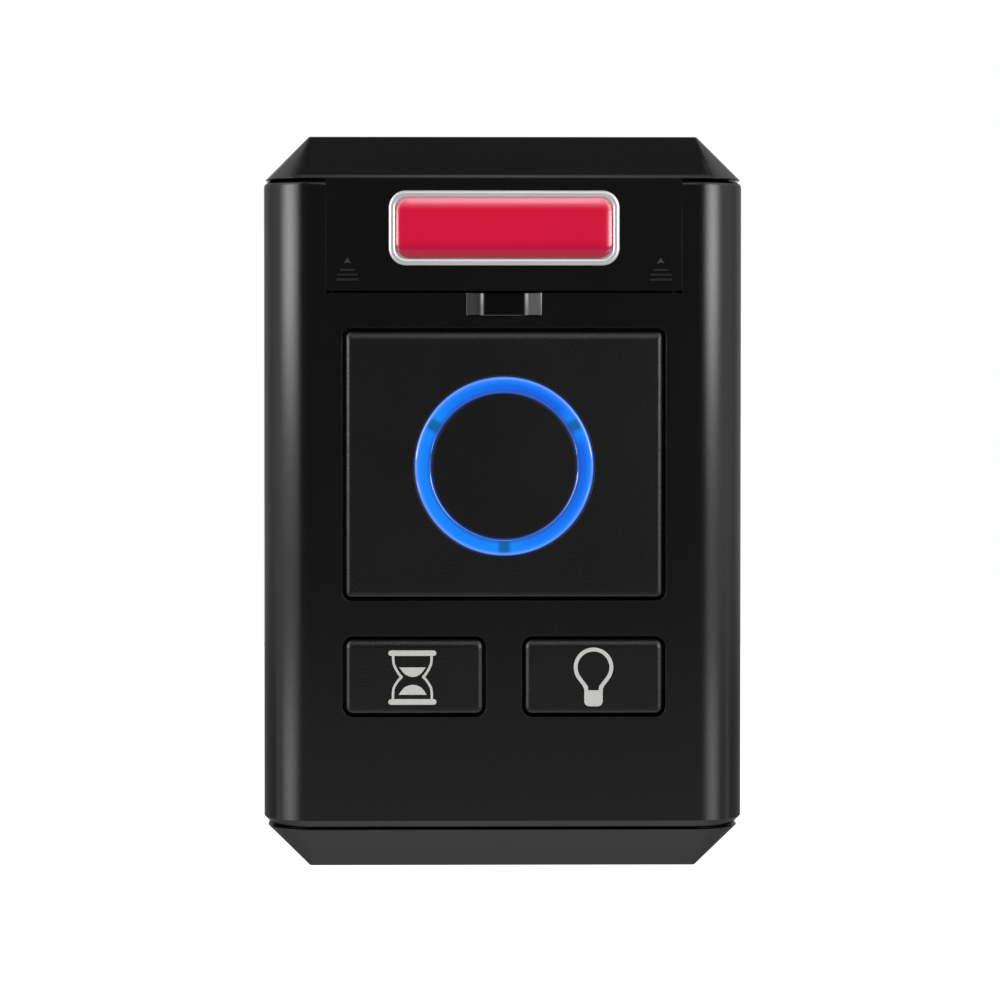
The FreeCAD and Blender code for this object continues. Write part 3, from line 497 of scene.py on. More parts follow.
def growPiece(name, tree, values, finish, points=()):    # runs a tree on some points, keeps the plain mesh
    piece = newPiece(name, points, [], fixNormals=False)
    modifier = piece.modifiers.new(name, "NODES")
    modifier.node_group = tree
    identifiers = {item.name: item.identifier for item in tree.interface.items_tree
                   if item.in_out == "INPUT"}
    for label, value in {**values, "Finish": materials[finish]}.items():
        modifier[identifiers[label]] = value
    bake(piece)
    return piece


# Front shell

shellLook = {"radius": 7.0, "wall": 2.0, "topEdge": 0.95, "footEdge": 1.2, "edgeReach": 1.6, "soften": 0.1,
             "gap": 0.35, "postWidth": 9.6, "windowSoft": 0.06, "openingSoft": 0.012, "bossRadius": 2.6,
             "bossInset": 6.8, "bossBack": 5.85, "screwBore": 1.15, "screwDepth": 14.0}
scoopLook = {"depth": 1.9, "slope": 40, "half": 5.5, "height": 3.4, "fillet": 1.7, "baseEdge": 1.0,
             "baseSoft": 0.35, "wall": 1.0}


def apronHalf():                                # half the width between the corner posts
    return nodeBox("front_shell")[1].x - shellLook["postWidth"]


def casePoints():
    lo, hi = nodeBox("case_screws")
    half = nodeBox("front_shell")[1].x - shellLook["bossInset"]
    reach = hi.x - half
    return [(sx * half, z) for sx in (-1, 1) for z in (lo.z + reach, hi.z - reach)]


def makeFrontShell():
    look, (lo, hi) = shellLook, nodeBox("front_shell")
    foot, top, reach, wall, gap = (look[key] for key in ("footEdge", "topEdge", "edgeReach", "wall", "gap"))
    outer = softened([(reach, lo.z), (foot, lo.z), (0, lo.z + foot), (0, hi.z - 2 * top)], look["soften"])
    outer += softened([(0, hi.z - 2 * top), (0, hi.z), (reach, hi.z)], top, 8)[1:]
    shell = planWall("frontShell", newPlan(hi.x, lo.y, hi.y, look["radius"]),
                     [(wall, lo.z)] + outer + [(wall, hi.z)])
    near, panelBack, scoopBack = lo.y, lo.y + wall, lo.y + scoopLook["depth"]
    openingBase, openingTop = nodeBox("battery_cover")[0].z - gap, hi.z + 12
    scoopBase = openingBase - scoopLook["height"]
    pocketHalf = scoopLook["half"] + scoopLook["wall"]
    additions = [block("pocket", (-pocketHalf, panelBack - 0.5, scoopBase - scoopLook["wall"]),
                       (pocketHalf, scoopBack + scoopLook["wall"], openingBase + 0.5))]
    additions += [peg("boss", place, look["bossRadius"], panelBack - 0.5, hi.y - look["bossBack"])
                  for place in casePoints()]
    combine(shell, additions, "UNION")
    cuts = [windowCutter((0, (openingBase + openingTop) / 2),
                         (2 * (apronHalf() + gap), openingTop - openingBase), 0.3, near, scoopBack + wall,
                         look["openingSoft"])]
    for node, (name, body, corner, topShare) in keyLook.items():
        centre, size = keyFace(node)
        cuts.append(windowCutter(centre, (size[0] + 2 * gap, size[1] + 2 * gap), corner + gap, near,
                                 panelBack + 0.6, look["windowSoft"]))
    cuts += [peg("bore", place, look["screwBore"], hi.y - look["screwDepth"], 1, 24)
             for place in casePoints()]
    combine(shell, cuts, "DIFFERENCE")
    cutScoop(shell, near, scoopBase, openingBase + 1)
    settle(shell, "console", "shell_plastic", ["front_shell"])
    shell.data.materials.append(materials["scoopGloss"])
    markScoop(shell, near, scoopBase, openingBase)
    print("front shell made", len(shell.data.polygons))


def cutScoop(shell, near, z0, z1):              # the thumb hollow under the cover, with slanted sides
    look, rings = scoopLook, []
    for inset, z in softened([(look["baseEdge"], z0), (0.0, z0), (0.0, z1)], look["baseSoft"]):
        half, deep = look["half"] - 0.2 - inset * math.sqrt(2), look["depth"] - inset
        foot = (deep - 0.1) / math.tan(math.radians(look["slope"])) - half
        side = [(-half - 1.5, near - 0.8), (-half, near + 0.1), (foot, near + deep)]
        profile = softened(side + [(-x, y) for x, y in reversed(side)], look["fillet"], 8)
        rings.append([(x, y, z) for x, y in profile])
    combine(shell, [loftRings("scoop", rings)], "DIFFERENCE")


def markScoop(shell, near, z0, z1):             # the hollow's faces are smoother than the rest
    half = scoopLook["half"] + 0.05
    for face in shell.data.polygons:
        centre = face.center / mm
        inWidth, inHeight = abs(centre.x) < half, z0 - 0.05 < centre.z < z1 + 0.1
        if inWidth and inHeight and near + 0.04 < centre.y < near + 2.6 and face.normal.y < -0.1:
            face.material_index = 1


# Battery cover

coverLook = {"radius": 6.75, "wall": 2.0, "hip": 6.4, "soften": 0.3, "hem": 0.14, "hemDrop": 0.12,
             "foldRise": 0.45, "foldRadius": 1.7, "apronSoft": 0.02, "apronCorner": 0.12, "apronGap": 0.1,
             "seatSlip": 0.05, "tongueReach": 1.6, "tongueThickness": 1.2, "tongueFoot": 0.35, "slip": 0.2,
             "ribPitch": 12.0, "ribHalf": 0.5}


def foldCutter(half, near, corner):             # what lies outside the round fold above the apron
    radius = coverLook["foldRadius"]
    axisY, axisZ = near + radius, corner - radius * math.tan(math.pi / 8)
    profile = []
    for k in range(13):
        angle = math.pi / 4 * k / 12
        profile.append((axisY - radius * math.cos(angle), axisZ + radius * math.sin(angle)))
    y, z = profile[-1]
    profile += [(y - 1, z + 1), (near - 1.5, z + 1), (near - 1.5, axisZ)]
    return loftRings("foldCutter", [[(x, y, z) for y, z in profile] for x in (-half, half)])


def makeCover():
    look, (lo, hi) = coverLook, nodeBox("battery_cover")
    near, half, capBase = nodeBox("front_shell")[0].y, apronHalf(), hi.z - look["hip"]
    rise, hip, wall, slip, soft = (look[key] for key in ("foldRise", "hip", "wall", "slip", "apronSoft"))
    plan = newPlan(hi.x, near - rise, hi.y, look["radius"])
    levels = softened([(look["hem"], capBase - look["hemDrop"]), (0.04, capBase), (hip, hi.z),
                       (hip + 0.3, hi.z)], look["soften"])
    cover = planLoft("batteryCover", plan, levels)
    combine(cover, [block("facing", (-hi.x, near - 2, capBase - 1), (hi.x, near, capBase + 2))],
            "DIFFERENCE")
    apronTop, reach = capBase + rise, half + shellLook["gap"] - look["apronGap"]
    apron = plateLoft("apron", (0, (lo.z + apronTop) / 2), (2 * reach, apronTop - lo.z),
                      look["apronCorner"],
                      softened([(3 * soft, near), (0, near), (0, near + wall)], soft), 2)
    combine(cover, [apron], "UNION")
    shift = wall * foldShare
    hollow = planLoft("hollow", dict(inside(plan, wall, hi.y + 1), front=near + wall),
                      [(0, capBase - 3), (0, capBase - shift + 0.001), (hip - wall + shift, hi.z - wall)])
    fold = foldCutter(hi.x + 1, near, capBase + rise)
    plateLo, plateHi = nodeBox("nameplate_base")
    slack = 2 * look["seatSlip"]
    seat = plateLoft("seat", (0, (plateLo.z + plateHi.z) / 2),
                     (plateHi.x - plateLo.x + slack, plateHi.z - plateLo.z + slack),
                     plateLook["radius"] + look["seatSlip"], [(0, near - 1), (0, plateHi.y)], 12)
    combine(cover, [hollow, fold, seat], "DIFFERENCE")
    additions = []
    panelBack, foot = near + wall, lo.z + look["tongueFoot"]
    tongueFront, tongueBack = panelBack + slip, panelBack + slip + look["tongueThickness"]
    for side in (-1, 1):
        inner, outer = side * (half - look["tongueReach"]), side * (half + look["tongueReach"])
        tongue, bridge = sorted((inner, outer)), sorted((inner, side * (half - slip)))
        rib = side * look["ribPitch"]
        additions += [
            block("tongue", (tongue[0], tongueFront, foot), (tongue[1], tongueBack, capBase)),
            block("bridge", (bridge[0], panelBack - 0.05, foot + 0.001),
                  (bridge[1], tongueFront + 0.05, capBase - 0.001)),
            block("rib", (rib - look["ribHalf"], panelBack - 0.05, foot),
                  (rib + look["ribHalf"], tongueBack, capBase))]
    combine(cover, additions, "UNION")
    settle(cover, "cover", "shell_plastic", ["battery_cover"])
    print("cover made", len(cover.data.polygons))


gripLook = {"bars": 3, "inset": 2.78, "rise": 1.6, "pitch": 0.68, "width": 3.3, "bar": 0.42,
            "height": 0.3, "taper": 0.28, "tip": 1.25}


def makeGrips():                                # bars that step out into an upward arrow
    tree, given = newNodesTree("arrowGrip", Bars="Int", Pitch="Float", Width="Float", Bar="Float",
                               Height="Float", Taper="Float", Tip="Float", Across="Float", Foot="Vector")
    line = addNode(tree, "GeometryNodeMeshLine", Count=given["Bars"], Start_Location=given["Foot"],
                   Offset=joinAxes(tree, Z=given["Pitch"]))
    index = tree.nodes.new("GeometryNodeInputIndex").outputs[0]
    lost = calc(tree, "MULTIPLY", calc(tree, "POWER", index, 2.0), given["Taper"])
    length = calc(tree, "SUBTRACT", given["Width"], lost)
    radius = calc(tree, "MULTIPLY", given["Bar"], 0.5)
    profile = addNode(tree, "GeometryNodeCurvePrimitiveCircle", Resolution=16, Radius=radius)
    rod = addNode(tree, "GeometryNodeCurvePrimitiveLine", Start=(-0.5, 0, 0), End=(0.5, 0, 0))
    bar = addNode(tree, "GeometryNodeCurveToMesh", Curve=rod.outputs[0], Profile_Curve=profile.outputs[0],
                  Fill_Caps=True)
    flatten = calc(tree, "DIVIDE", given["Height"], radius)
    bars = addNode(tree, "GeometryNodeInstanceOnPoints", Points=line.outputs[0], Instance=bar.outputs[0],
                   Scale=joinAxes(tree, X=length, Y=flatten, Z=1.0))
    cone = addNode(tree, "GeometryNodeMeshCone", Vertices=3, Radius_Top=0.0, Radius_Bottom=0.5,
                   Depth=given["Height"])
    above = calc(tree, "MULTIPLY", given["Pitch"], calc(tree, "ADD", given["Bars"], 0.75))
    place = addNode(tree, "ShaderNodeVectorMath", operation="ADD")
    tree.links.new(given["Foot"], place.inputs[0])
    tree.links.new(joinAxes(tree, Z=above), place.inputs[1])
    tip = addNode(tree, "GeometryNodeTransform", Geometry=cone.outputs[0], Translation=place.outputs[0],
                  Rotation=(math.pi / 2, -math.pi / 2, 0),
                  Scale=joinAxes(tree, X=given["Tip"], Y=given["Tip"], Z=1.0))
    arrow, both = (tree.nodes.new("GeometryNodeJoinGeometry") for k in range(2))
    tree.links.new(bars.outputs[0], arrow.inputs[0])
    tree.links.new(tip.outputs[0], arrow.inputs[0])
    for side in (-1, 1):
        aside = joinAxes(tree, X=calc(tree, "MULTIPLY", given["Across"], side))
        patch = addNode(tree, "GeometryNodeTransform", Geometry=arrow.outputs[0], Translation=aside)
        tree.links.new(patch.outputs[0], both.inputs[0])
    endTree(tree, given, both.outputs[0])
    near, foot = nodeBox("front_shell")[0].y, nodeBox("battery_cover")[0].z
    sizes = {key.title(): gripLook[key] * mm for key in ("pitch", "width", "bar", "height", "taper", "tip")}
    grips = growPiece("arrowGrips", tree, {
        **sizes, "Bars": gripLook["bars"], "Across": (apronHalf() - gripLook["inset"]) * mm,
        "Foot": Vector((0, near, foot + gripLook["rise"])) * mm}, "button_plastic")
    settle(grips, "cover", "button_plastic")
    print("grips made", len(grips.data.polygons))


# Nameplate: a blank rimmed plate with a domed field

plateLook = {"radius": 2.5, "rim": 1.0, "crown": 0.28, "seat": 0.3, "dome": 0.35, "edge": 0.05,
             "slip": 0.05, "shoulder": 0.47, "steps": 14}


def makeNameplate():
    look, (lo, hi) = plateLook, nodeBox("nameplate_base")
    centre, size = (0, (lo.z + hi.z) / 2), (hi.x - lo.x, hi.z - lo.z)
    rim, floor, edge, steps = look["rim"], lo.y + look["seat"], look["edge"], look["steps"]
    levels = [(0, hi.y)]
    for k in range(13):                         # a half-round rim
        angle = math.pi * k / 12
        levels.append((rim / 2 * (1 - math.cos(angle)), lo.y + look["crown"] * (1 - math.sin(angle))))
    base = plateLoft("nameplateBase", centre, size, look["radius"], levels + [(rim, floor)], steps)
    settle(base, "cover", "rim_metal", ["nameplate_base"], 50)
    inset = 2 * (rim + look["slip"])
    field = (size[0] - inset, size[1] - inset)
    levels = [(0, floor), (0, lo.y + edge)]
    for k in range(1, 15):                      # a soft shoulder that runs out to a nearly flat crown
        share = k / 14
        levels.append((share**1.6 * field[1] * look["shoulder"],
                       lo.y + edge - (look["dome"] + edge) * (1 - (1 - share)**2.6)))
    face = plateLoft("nameplateFace", centre, field, look["radius"] - rim / 2, levels, steps)
    settle(face, "cover", "field_red", ["nameplate_face"], 50)
    print("nameplate made", round(lo.y - look["dome"], 2))


# Push buttons

buttonLook = {"edge": 0.9, "flange": 0.8, "flangeDepth": 1.0, "plate": 2.0, "skirt": 1.4, "web": 1.0,
              "hollowCorner": 1.5, "boss": 2.4, "slip": 0.05, "ringTop": 1.0, "ringEdge": 0.48,
              "grooveFlare": 0.12}
keyLook = {         # piece, body, corner radius, and how much wider the upper edge is rounded
    "door_button": ("doorButton", "door_key", 1.0, 1.7),
    "timer_button": ("timerButton", "timer_key", 1.2, 1.5),
    "lamp_button": ("lampButton", "lamp_key", 1.2, 1.5)}


def keyFace(node):                              # centre and size of a button's face, without its flange
    lo, hi = nodeBox(node)
    inset = 2 * buttonLook["flange"]
    return ((lo.x + hi.x) / 2, (lo.z + hi.z) / 2), (hi.x - lo.x - inset, hi.z - lo.z - inset)


def makeButton(node, name, corner, topShare):
    look, (lo, hi) = buttonLook, nodeBox(node)
    (x, z), size = keyFace(node)
    edge, skirt, floor, half = look["edge"], look["skirt"], lo.y + look["plate"], look["web"] / 2
    rounded = softened([(2.5 * edge, lo.y), (0, lo.y), (0, lo.y + 2.5 * edge)], edge, 10)
    flange, flangeFront = -look["flange"], hi.y - look["flangeDepth"]
    levels = rounded[:-1] + [(0, flangeFront), (flange, flangeFront), (flange, hi.y)]
    button = plateLoft(name, (x, z), size, corner, levels, 12, topShare)
    hollow = plateLoft("hollow", (x, z), size, look["hollowCorner"], [(skirt, floor), (skirt, hi.y + 1)], 4)
    combine(button, [hollow], "DIFFERENCE")
    reachX, reachZ = size[0] / 2 - skirt / 2, size[1] / 2 - skirt / 2
    plunger = nodeBox(node.replace("button", "switch_plunger"))[0].y
    webFront, webBack = floor - 0.05, hi.y - 0.02
    webs = [block("web", (x - reachX, webFront, z - half), (x + reachX, webBack, z + half)),
            block("web", (x - half, webFront, z - reachZ), (x + half, webBack, z + reachZ)),
            peg("boss", (x, z), look["boss"], webFront, plunger - look["slip"])]
    combine(button, webs, "UNION")
    return button


def makeGroove(steps=160):                      # the ring's groove, its mouth flared both ways
    slip, flare, proud = buttonLook["slip"], buttonLook["grooveFlare"], 0.5
    (lo, hi), middle = nodeBox("light_ring"), middleOf("light_ring")
    inner, outer = ringLight["inner"] - slip, (hi.x - lo.x) / 2 + slip
    face, floor = lo.y, lo.y + buttonLook["ringTop"] + 0.05
    profile = [(inner - flare - proud, face - proud), (outer + flare + proud, face - proud),
               (outer, face + flare), (outer, floor), (inner, floor), (inner, face + flare)]
    rings = []
    for k in range(steps):
        angle = 2 * math.pi * (k + 0.5) / steps
        dx, dz = math.cos(angle), math.sin(angle)
        rings.append([(middle.x + r * dx, y, middle.z + r * dz) for r, y in profile])
    return loftRings("groove", rings, closed=True)


def makeButtons():
    for node, (name, body, corner, topShare) in keyLook.items():
        key = makeButton(node, name, corner, topShare)
        if node == "door_button":
            combine(key, [makeGroove()], "DIFFERENCE")
        settle(key, body, "button_plastic", [node])
        print("button made", name, len(key.data.polygons))


def makeLightRing():                            # a rounded band swept round a circle
    tree, given = newNodesTree("sweptRing", Radius="Float", Band="Float", Thickness="Float", Edge="Float",
                               Centre="Vector")
    circle = addNode(tree, "GeometryNodeCurvePrimitiveCircle", Resolution=192, Radius=given["Radius"])
    section = addNode(tree, "GeometryNodeCurvePrimitiveQuadrilateral", Width=given["Band"],
                      Height=given["Thickness"])
    rounded = addNode(tree, "GeometryNodeFilletCurve", mode="POLY", Curve=section.outputs[0], Count=7,
                      Radius=given["Edge"])
    band = addNode(tree, "GeometryNodeCurveToMesh", Curve=circle.outputs[0],
                   Profile_Curve=rounded.outputs[0])
    placed = addNode(tree, "GeometryNodeTransform", Geometry=band.outputs[0], Translation=given["Centre"],
                     Rotation=(math.pi / 2, 0, 0))
    endTree(tree, given, placed.outputs[0])
    (lo, hi), middle = nodeBox("light_ring"), middleOf("light_ring")
    inner, outer, thickness = ringLight["inner"], (hi.x - lo.x) / 2, buttonLook["ringTop"]
    ring = growPiece("lightRing", tree, {
        "Radius": (inner + outer) / 2 * mm, "Band": (outer - inner) * mm, "Thickness": thickness * mm,
        "Edge": buttonLook["ringEdge"] * mm,
        "Centre": Vector((middle.x, lo.y + thickness / 2, middle.z)) * mm}, "ring_blue")
    settle(ring, "door_key", "ring_blue", ["light_ring"], 60)
    print("light ring made", [round(value / mm, 2) for value in ring.dimensions])


# Pictograms printed on the two keys

inkLook = {"thickness": 0.025, "sink": 0.02}
hourglassLook = {"barHalf": 3.47, "barTop": (3.14, 3.93), "barBottom": (-3.93, -3.11), "line": 0.35,
                 "side": [(-2.78, 3.2), (-2.72, 2.1), (-2.49, 1.47), (-2.13, 0.82), (-1.77, 0.29),
                          (-1.57, 0.1), (-1.93, -0.29), (-2.32, -0.82), (-2.68, -1.47), (-2.78, -2.13),
                          (-2.81, -3.15)],
                 "upperSand": [(-1.9, 1.47), (1.96, 1.47), (1.21, 0.56), (0.49, 0.16), (-0.36, 0.16),
                               (-1.15, 0.56)],
                 "lowerSand": [(-2.0, -2.49), (2.06, -2.49), (1.41, -1.57), (0.75, -1.18), (0.03, -1.05),
                               (-0.62, -1.18), (-1.28, -1.54)]}
bulbLook = {"globe": 2.86, "inner": 2.3, "globeZ": 1.28, "leaves": 217, "neckHalf": 1.33, "capFoot": -4.36,
            "capRound": 0.8, "voidHalf": 0.77, "voidFoot": -2.05, "voidRound": 0.12, "waist": 1.4}


def inkSheet(name, outlines, centre, nearY):    # closed outlines, holes where they nest, as thin ink
    curve = bpy.data.curves.new(name, "CURVE")
    curve.dimensions = "2D"
    curve.fill_mode = "BOTH"
    for points in outlines:
        spline = curve.splines.new("POLY")
        spline.points.add(len(points) - 1)
        for point, (x, z) in zip(spline.points, points):
            point.co = (x * mm, z * mm, 0, 1)
        spline.use_cyclic_u = True
    curve.extrude = inkLook["thickness"] / 2 * mm
    drawn = placeObject(name, curve)
    graph = bpy.context.evaluated_depsgraph_get()
    mesh = bpy.data.meshes.new_from_object(drawn.evaluated_get(graph))
    bpy.data.objects.remove(drawn)
    mesh.transform(Matrix.Rotation(math.pi / 2, 4, "X"))
    mesh.transform(Matrix.Translation(Vector((centre[0], nearY, centre[1])) * mm))
    return placeObject(name, mesh)


def thickLine(points, width):                   # outline of a line of steady width, with flat ends
    def offset(path, distance):
        out = []
        for k, point in enumerate(path):
            a, b = Vector(path[max(k - 1, 0)]), Vector(path[min(k + 1, len(path) - 1)])
            along = (b - a).normalized()
            out.append((point[0] - along.y * distance, point[1] + along.x * distance))
        return out
    return offset(points, width / 2) + list(reversed(offset(points, -width / 2)))


def roundBar(half, z0, z1):
    radius = (z1 - z0) / 2
    points = []
    for side, start in ((1, -90), (-1, 90)):
        for k in range(13):
            angle = math.radians(start + 15 * k)
            points.append((side * (half - radius) + radius * math.cos(angle),
                           (z0 + z1) / 2 + radius * math.sin(angle)))
    return points


def smoothPath(points, steps=4):                # a smooth curve through the points
    ends = [points[0]] + list(points) + [points[-1]]
    out = []
    for a, b, c, d in zip(*([Vector(point) for point in ends[k:]] for k in range(4))):
        for n in range(steps):
            t = n / steps
            out.append(tuple(0.5 * (2 * b + (c - a) * t + (2 * a - 5 * b + 4 * c - d) * t * t
                                    + (3 * b - a - 3 * c + d) * t**3)))
    return out + [tuple(points[-1])]


def sandOutline(points):                        # a straight edge, then a smooth curve back
    path = smoothPath(points[1:] + points[:1])
    return path[-1:] + path[:-1]


def drawHourglass():                            # its strokes overlap, so each is a sheet of its own
    look = hourglassLook
    left = smoothPath(look["side"])
    right = [(-x, z) for x, z in left]
    strokes = [roundBar(look["barHalf"], *look["barTop"]), roundBar(look["barHalf"], *look["barBottom"]),
               thickLine(left, look["line"]), thickLine(right, look["line"]),
               sandOutline(look["upperSand"]), sandOutline(look["lowerSand"])]
    return [[stroke] for stroke in strokes]


def globeOutline(radius, half, foot, footRound):    # a globe that runs down in tangents to a neck
    last = math.radians(bulbLook["leaves"])
    points = []
    for k in range(57):
        angle = math.pi - last + (2 * last - math.pi) * k / 56
        points.append((radius * math.cos(angle), bulbLook["globeZ"] + radius * math.sin(angle)))
    leave, footTop = Vector(points[-1]), foot + 2 * footRound
    shoulder = leave.y + (half + leave.x) / math.sin(last) * math.cos(last)
    neck = softened([tuple(leave), (-half, shoulder), (-half, footTop)], bulbLook["waist"], 6)
    cap = softened([(-half, footTop), (-half, foot), (half, foot), (half, footTop)], footRound, 6)
    mirrored = [(-x, z) for x, z in reversed(neck)]
    return points + neck[1:] + cap[1:-1] + mirrored[:-1]


def drawBulb():                                 # one sheet, its void nested in the outline
    look = bulbLook
    return [[globeOutline(look["globe"], look["neckHalf"], look["capFoot"], look["capRound"]),
             globeOutline(look["inner"], look["voidHalf"], look["voidFoot"], look["voidRound"])]]


def makePictograms():
    for name, sheets, node, shift in (("hourglassMark", drawHourglass(), "timer_button", (-0.28, -0.1)),
                                      ("bulbMark", drawBulb(), "lamp_button", (-0.04, 0.08))):
        (x, z), size = keyFace(node)
        nearY = nodeBox(node)[0].y - inkLook["thickness"] / 2 + inkLook["sink"] / 2
        mark, *others = [inkSheet(name + str(k), outlines, (x + shift[0], z + shift[1]), nearY)
                         for k, outlines in enumerate(sheets)]
        combine(mark, others, "UNION")
        mark.name = name
        weld(mark.data, fixNormals=False)
        settle(mark, keyLook[node][1], "button_plastic")
        mark.data.materials[0] = materials["pictogramInk"]
    print("pictograms made")


# Rear housing: back plate, sloped bottom end and battery compartment

rearLook = {"plate": 2.0, "hip": 6.4, "step": 0.5, "radius": 6.5, "soften": 0.12, "seam": 0.22, "edge": 0.3,
            "lipInset": 2.2, "lipRadius": 4.8, "lipWidth": 1.3, "lipDrop": 0.9, "lipRise": 1.85,
            "column": 3.1, "columnHeight": 6.0, "counterbore": 2.4, "boreDepth": 2.05, "bore": 1.3,
            "post": 2.5, "well": 4.6, "wellWall": 1.4, "wellFront": -9.0, "root": -1.0, "keyEntry": 4.25,
            "keySlot": 2.25, "keyDrop": 60.0, "keyTravel": 7.0}
tubLook = {"wall": 1.5, "play": 0.3, "saddle": 7.5, "saddleInset": 1.45, "panelGap": 1.8, "topGap": 2.7,
           "bridgeSlip": 0.05}


def keyholePlaces():
    wellZ = (nodeBox("battery_upper")[1].z + nodeBox("battery_lower")[0].z) / 2
    seatZ = wellZ - rearLook["keyDrop"]
    return wellZ, seatZ, seatZ - rearLook["keyTravel"]


def platePolygon(half, low, high, inset):
    hip, cut = rearLook["hip"], inset * math.tan(math.pi / 8)
    right = [(half - inset, low), (half - inset, high - hip - cut), (half - hip - cut, high - inset)]
    left = [(-x, z) for x, z in reversed(right)]
    return left[-1:] + right + left[:-1]


def boardPoints():
    lo, hi = nodeBox("board_screws")
    inset = screwLook["boardScrews"]["radius"]
    return [(x, z) for x in (lo.x + inset, hi.x - inset) for z in (lo.z + inset, hi.z - inset)]


def makeRearHousing():
    look, (lo, hi), shellLo = rearLook, nodeBox("rear_housing"), nodeBox("front_shell")[0]
    plate, edge, root, wall = look["plate"], look["edge"], look["root"], shellLook["wall"]
    half, endTop = hi.x, shellLo.z - look["seam"]
    rings = [[(x, y, z) for x, z in platePolygon(half, endTop, hi.z, inset)]
             for inset, y in ((0, -plate), (0, -edge), (edge * 0.3, -edge * 0.3), (edge, 0))]
    housing = loftRings("rearHousing", rings)
    plan = newPlan(half - look["step"], lo.y, 0.0, look["radius"])
    drop, shift = endTop - lo.z, wall * foldShare
    slope = softened([(drop + 0.3, lo.z), (drop, lo.z), (0, endTop - 0.001), (0.2, endTop)], look["soften"])
    bottomEnd = planLoft("bottomEnd", plan, slope[1:])      # the flat face starts at its rounded edge
    hollow = planLoft("hollow", inside(plan, wall, -plate),
                      [(drop - wall + shift, lo.z + wall), (0, endTop + shift), (0, endTop + 5)])
    combine(bottomEnd, [hollow], "DIFFERENCE")
    key = block("key", (4 - half, 0.3 - plate, endTop - 1.0), (half - 4, -0.3, endTop + 1.0))
    inset, width = look["lipInset"], look["lipWidth"]
    foot, top = endTop - look["lipDrop"], endTop + look["lipRise"]
    lip = planWall("lip", newPlan(half - inset, shellLo.y + inset, -plate - 0.2, look["lipRadius"]),
                   [(0, foot), (0, top), (width, top), (width, foot)])
    combine(housing, [bottomEnd, key, lip, makeTub()], "UNION")
    wellZ, seatZ, entryZ = keyholePlaces()
    boardBack = nodeBox("circuit_board")[1].y
    additions = [peg("well", (0, wellZ), look["well"] + look["wellWall"], look["wellFront"], root, 48)]
    additions += [peg("column", place, look["column"], -plate - look["columnHeight"], root, 40)
                  for place in casePoints()]
    additions += [peg("boardPost", place, look["post"], boardBack, root) for place in boardPoints()]
    combine(housing, additions, "UNION")
    slot = look["keySlot"]
    cuts = [peg("wellBore", (0, wellZ), look["well"], lo.y, -plate, 64),
            peg("screwHole", (0, wellZ), slot, lo.y, 1, 64),
            peg("entry", (0, entryZ), look["keyEntry"], -3.5, 1, 72),
            plateLoft("slot", (0, (entryZ + seatZ) / 2), (2 * slot, seatZ - entryZ + 2 * slot), slot - 0.01,
                      [(0, -3.4), (0, 1)], 24)]
    for place in casePoints():
        cuts += [peg("counterbore", place, look["counterbore"], -look["boreDepth"], 1, 48),
                 peg("bore", place, look["bore"], -10, 0.5, 24)]
    combine(housing, cuts, "DIFFERENCE")
    settle(housing, "console", "housing_plastic", ["rear_housing"])
    print("rear housing made", len(housing.data.polygons))


def cellAxis(node):                             # y and z of a cell's axis, and its radius
    lo, hi = nodeBox(node)
    return (lo.y + hi.y) / 2, (lo.z + hi.z) / 2, (hi.z - lo.z) / 2


def makeTub():                                  # the battery compartment, its saddle scalloped
    look = tubLook
    y, upperZ, radius = cellAxis("battery_upper")
    lowerZ = cellAxis("battery_lower")[1]
    half = look["bridgeSlip"] - nodeBox("contact_bridge")[0].x
    wall, room = look["wall"], radius + look["play"]
    front = nodeBox("front_shell")[0].y + shellLook["wall"] + look["panelGap"]
    back, floor, top = y + room + wall, lowerZ - room, nodeBox("rear_housing")[1].z - look["topGap"]
    tub = block("tub", (-half - wall, front, floor - wall), (half + wall, -1.5, top))
    combine(tub, [block("room", (-half, front - 2, floor), (half, back - wall, top + 9)),
                  block("cavity", (-half, back, floor), (half, -rearLook["plate"], top - wall))],
            "DIFFERENCE")
    saddleHalf = half - look["saddleInset"]
    combine(tub, [block("saddle", (-saddleHalf, back - look["saddle"] + wall, floor - 0.1),
                        (saddleHalf, back - 0.1, top - 0.01))], "UNION")
    cuts = [alongX("scallop", y, z, [(room, -half), (room, half)]) for z in (upperZ, lowerZ)]
    combine(tub, cuts + [slopeCutter()], "DIFFERENCE")
    return tub


def slopeCutter():                              # keeps the compartment inside the cover's slopes
    hi, near = nodeBox("battery_cover")[1], nodeBox("front_shell")[0].y
    hip, clear, reach = coverLook["hip"], coverLook["wall"] + coverLook["slip"], 20.0
    capBase, shift = hi.z - hip, clear * foldShare
    keep = planLoft("keep", newPlan(hi.x - clear, near + clear, 0.5, coverLook["radius"] - clear, 12),
                    [(0, capBase - 30), (0, capBase - shift), (hip - clear + shift, hi.z - clear)])
    outside = block("outside", (-hi.x - reach, near - reach, capBase - 29),
                    (hi.x + reach, 0.4, hi.z + reach))
    combine(outside, [keep], "DIFFERENCE")
    return outside


# Cells, springs and screws

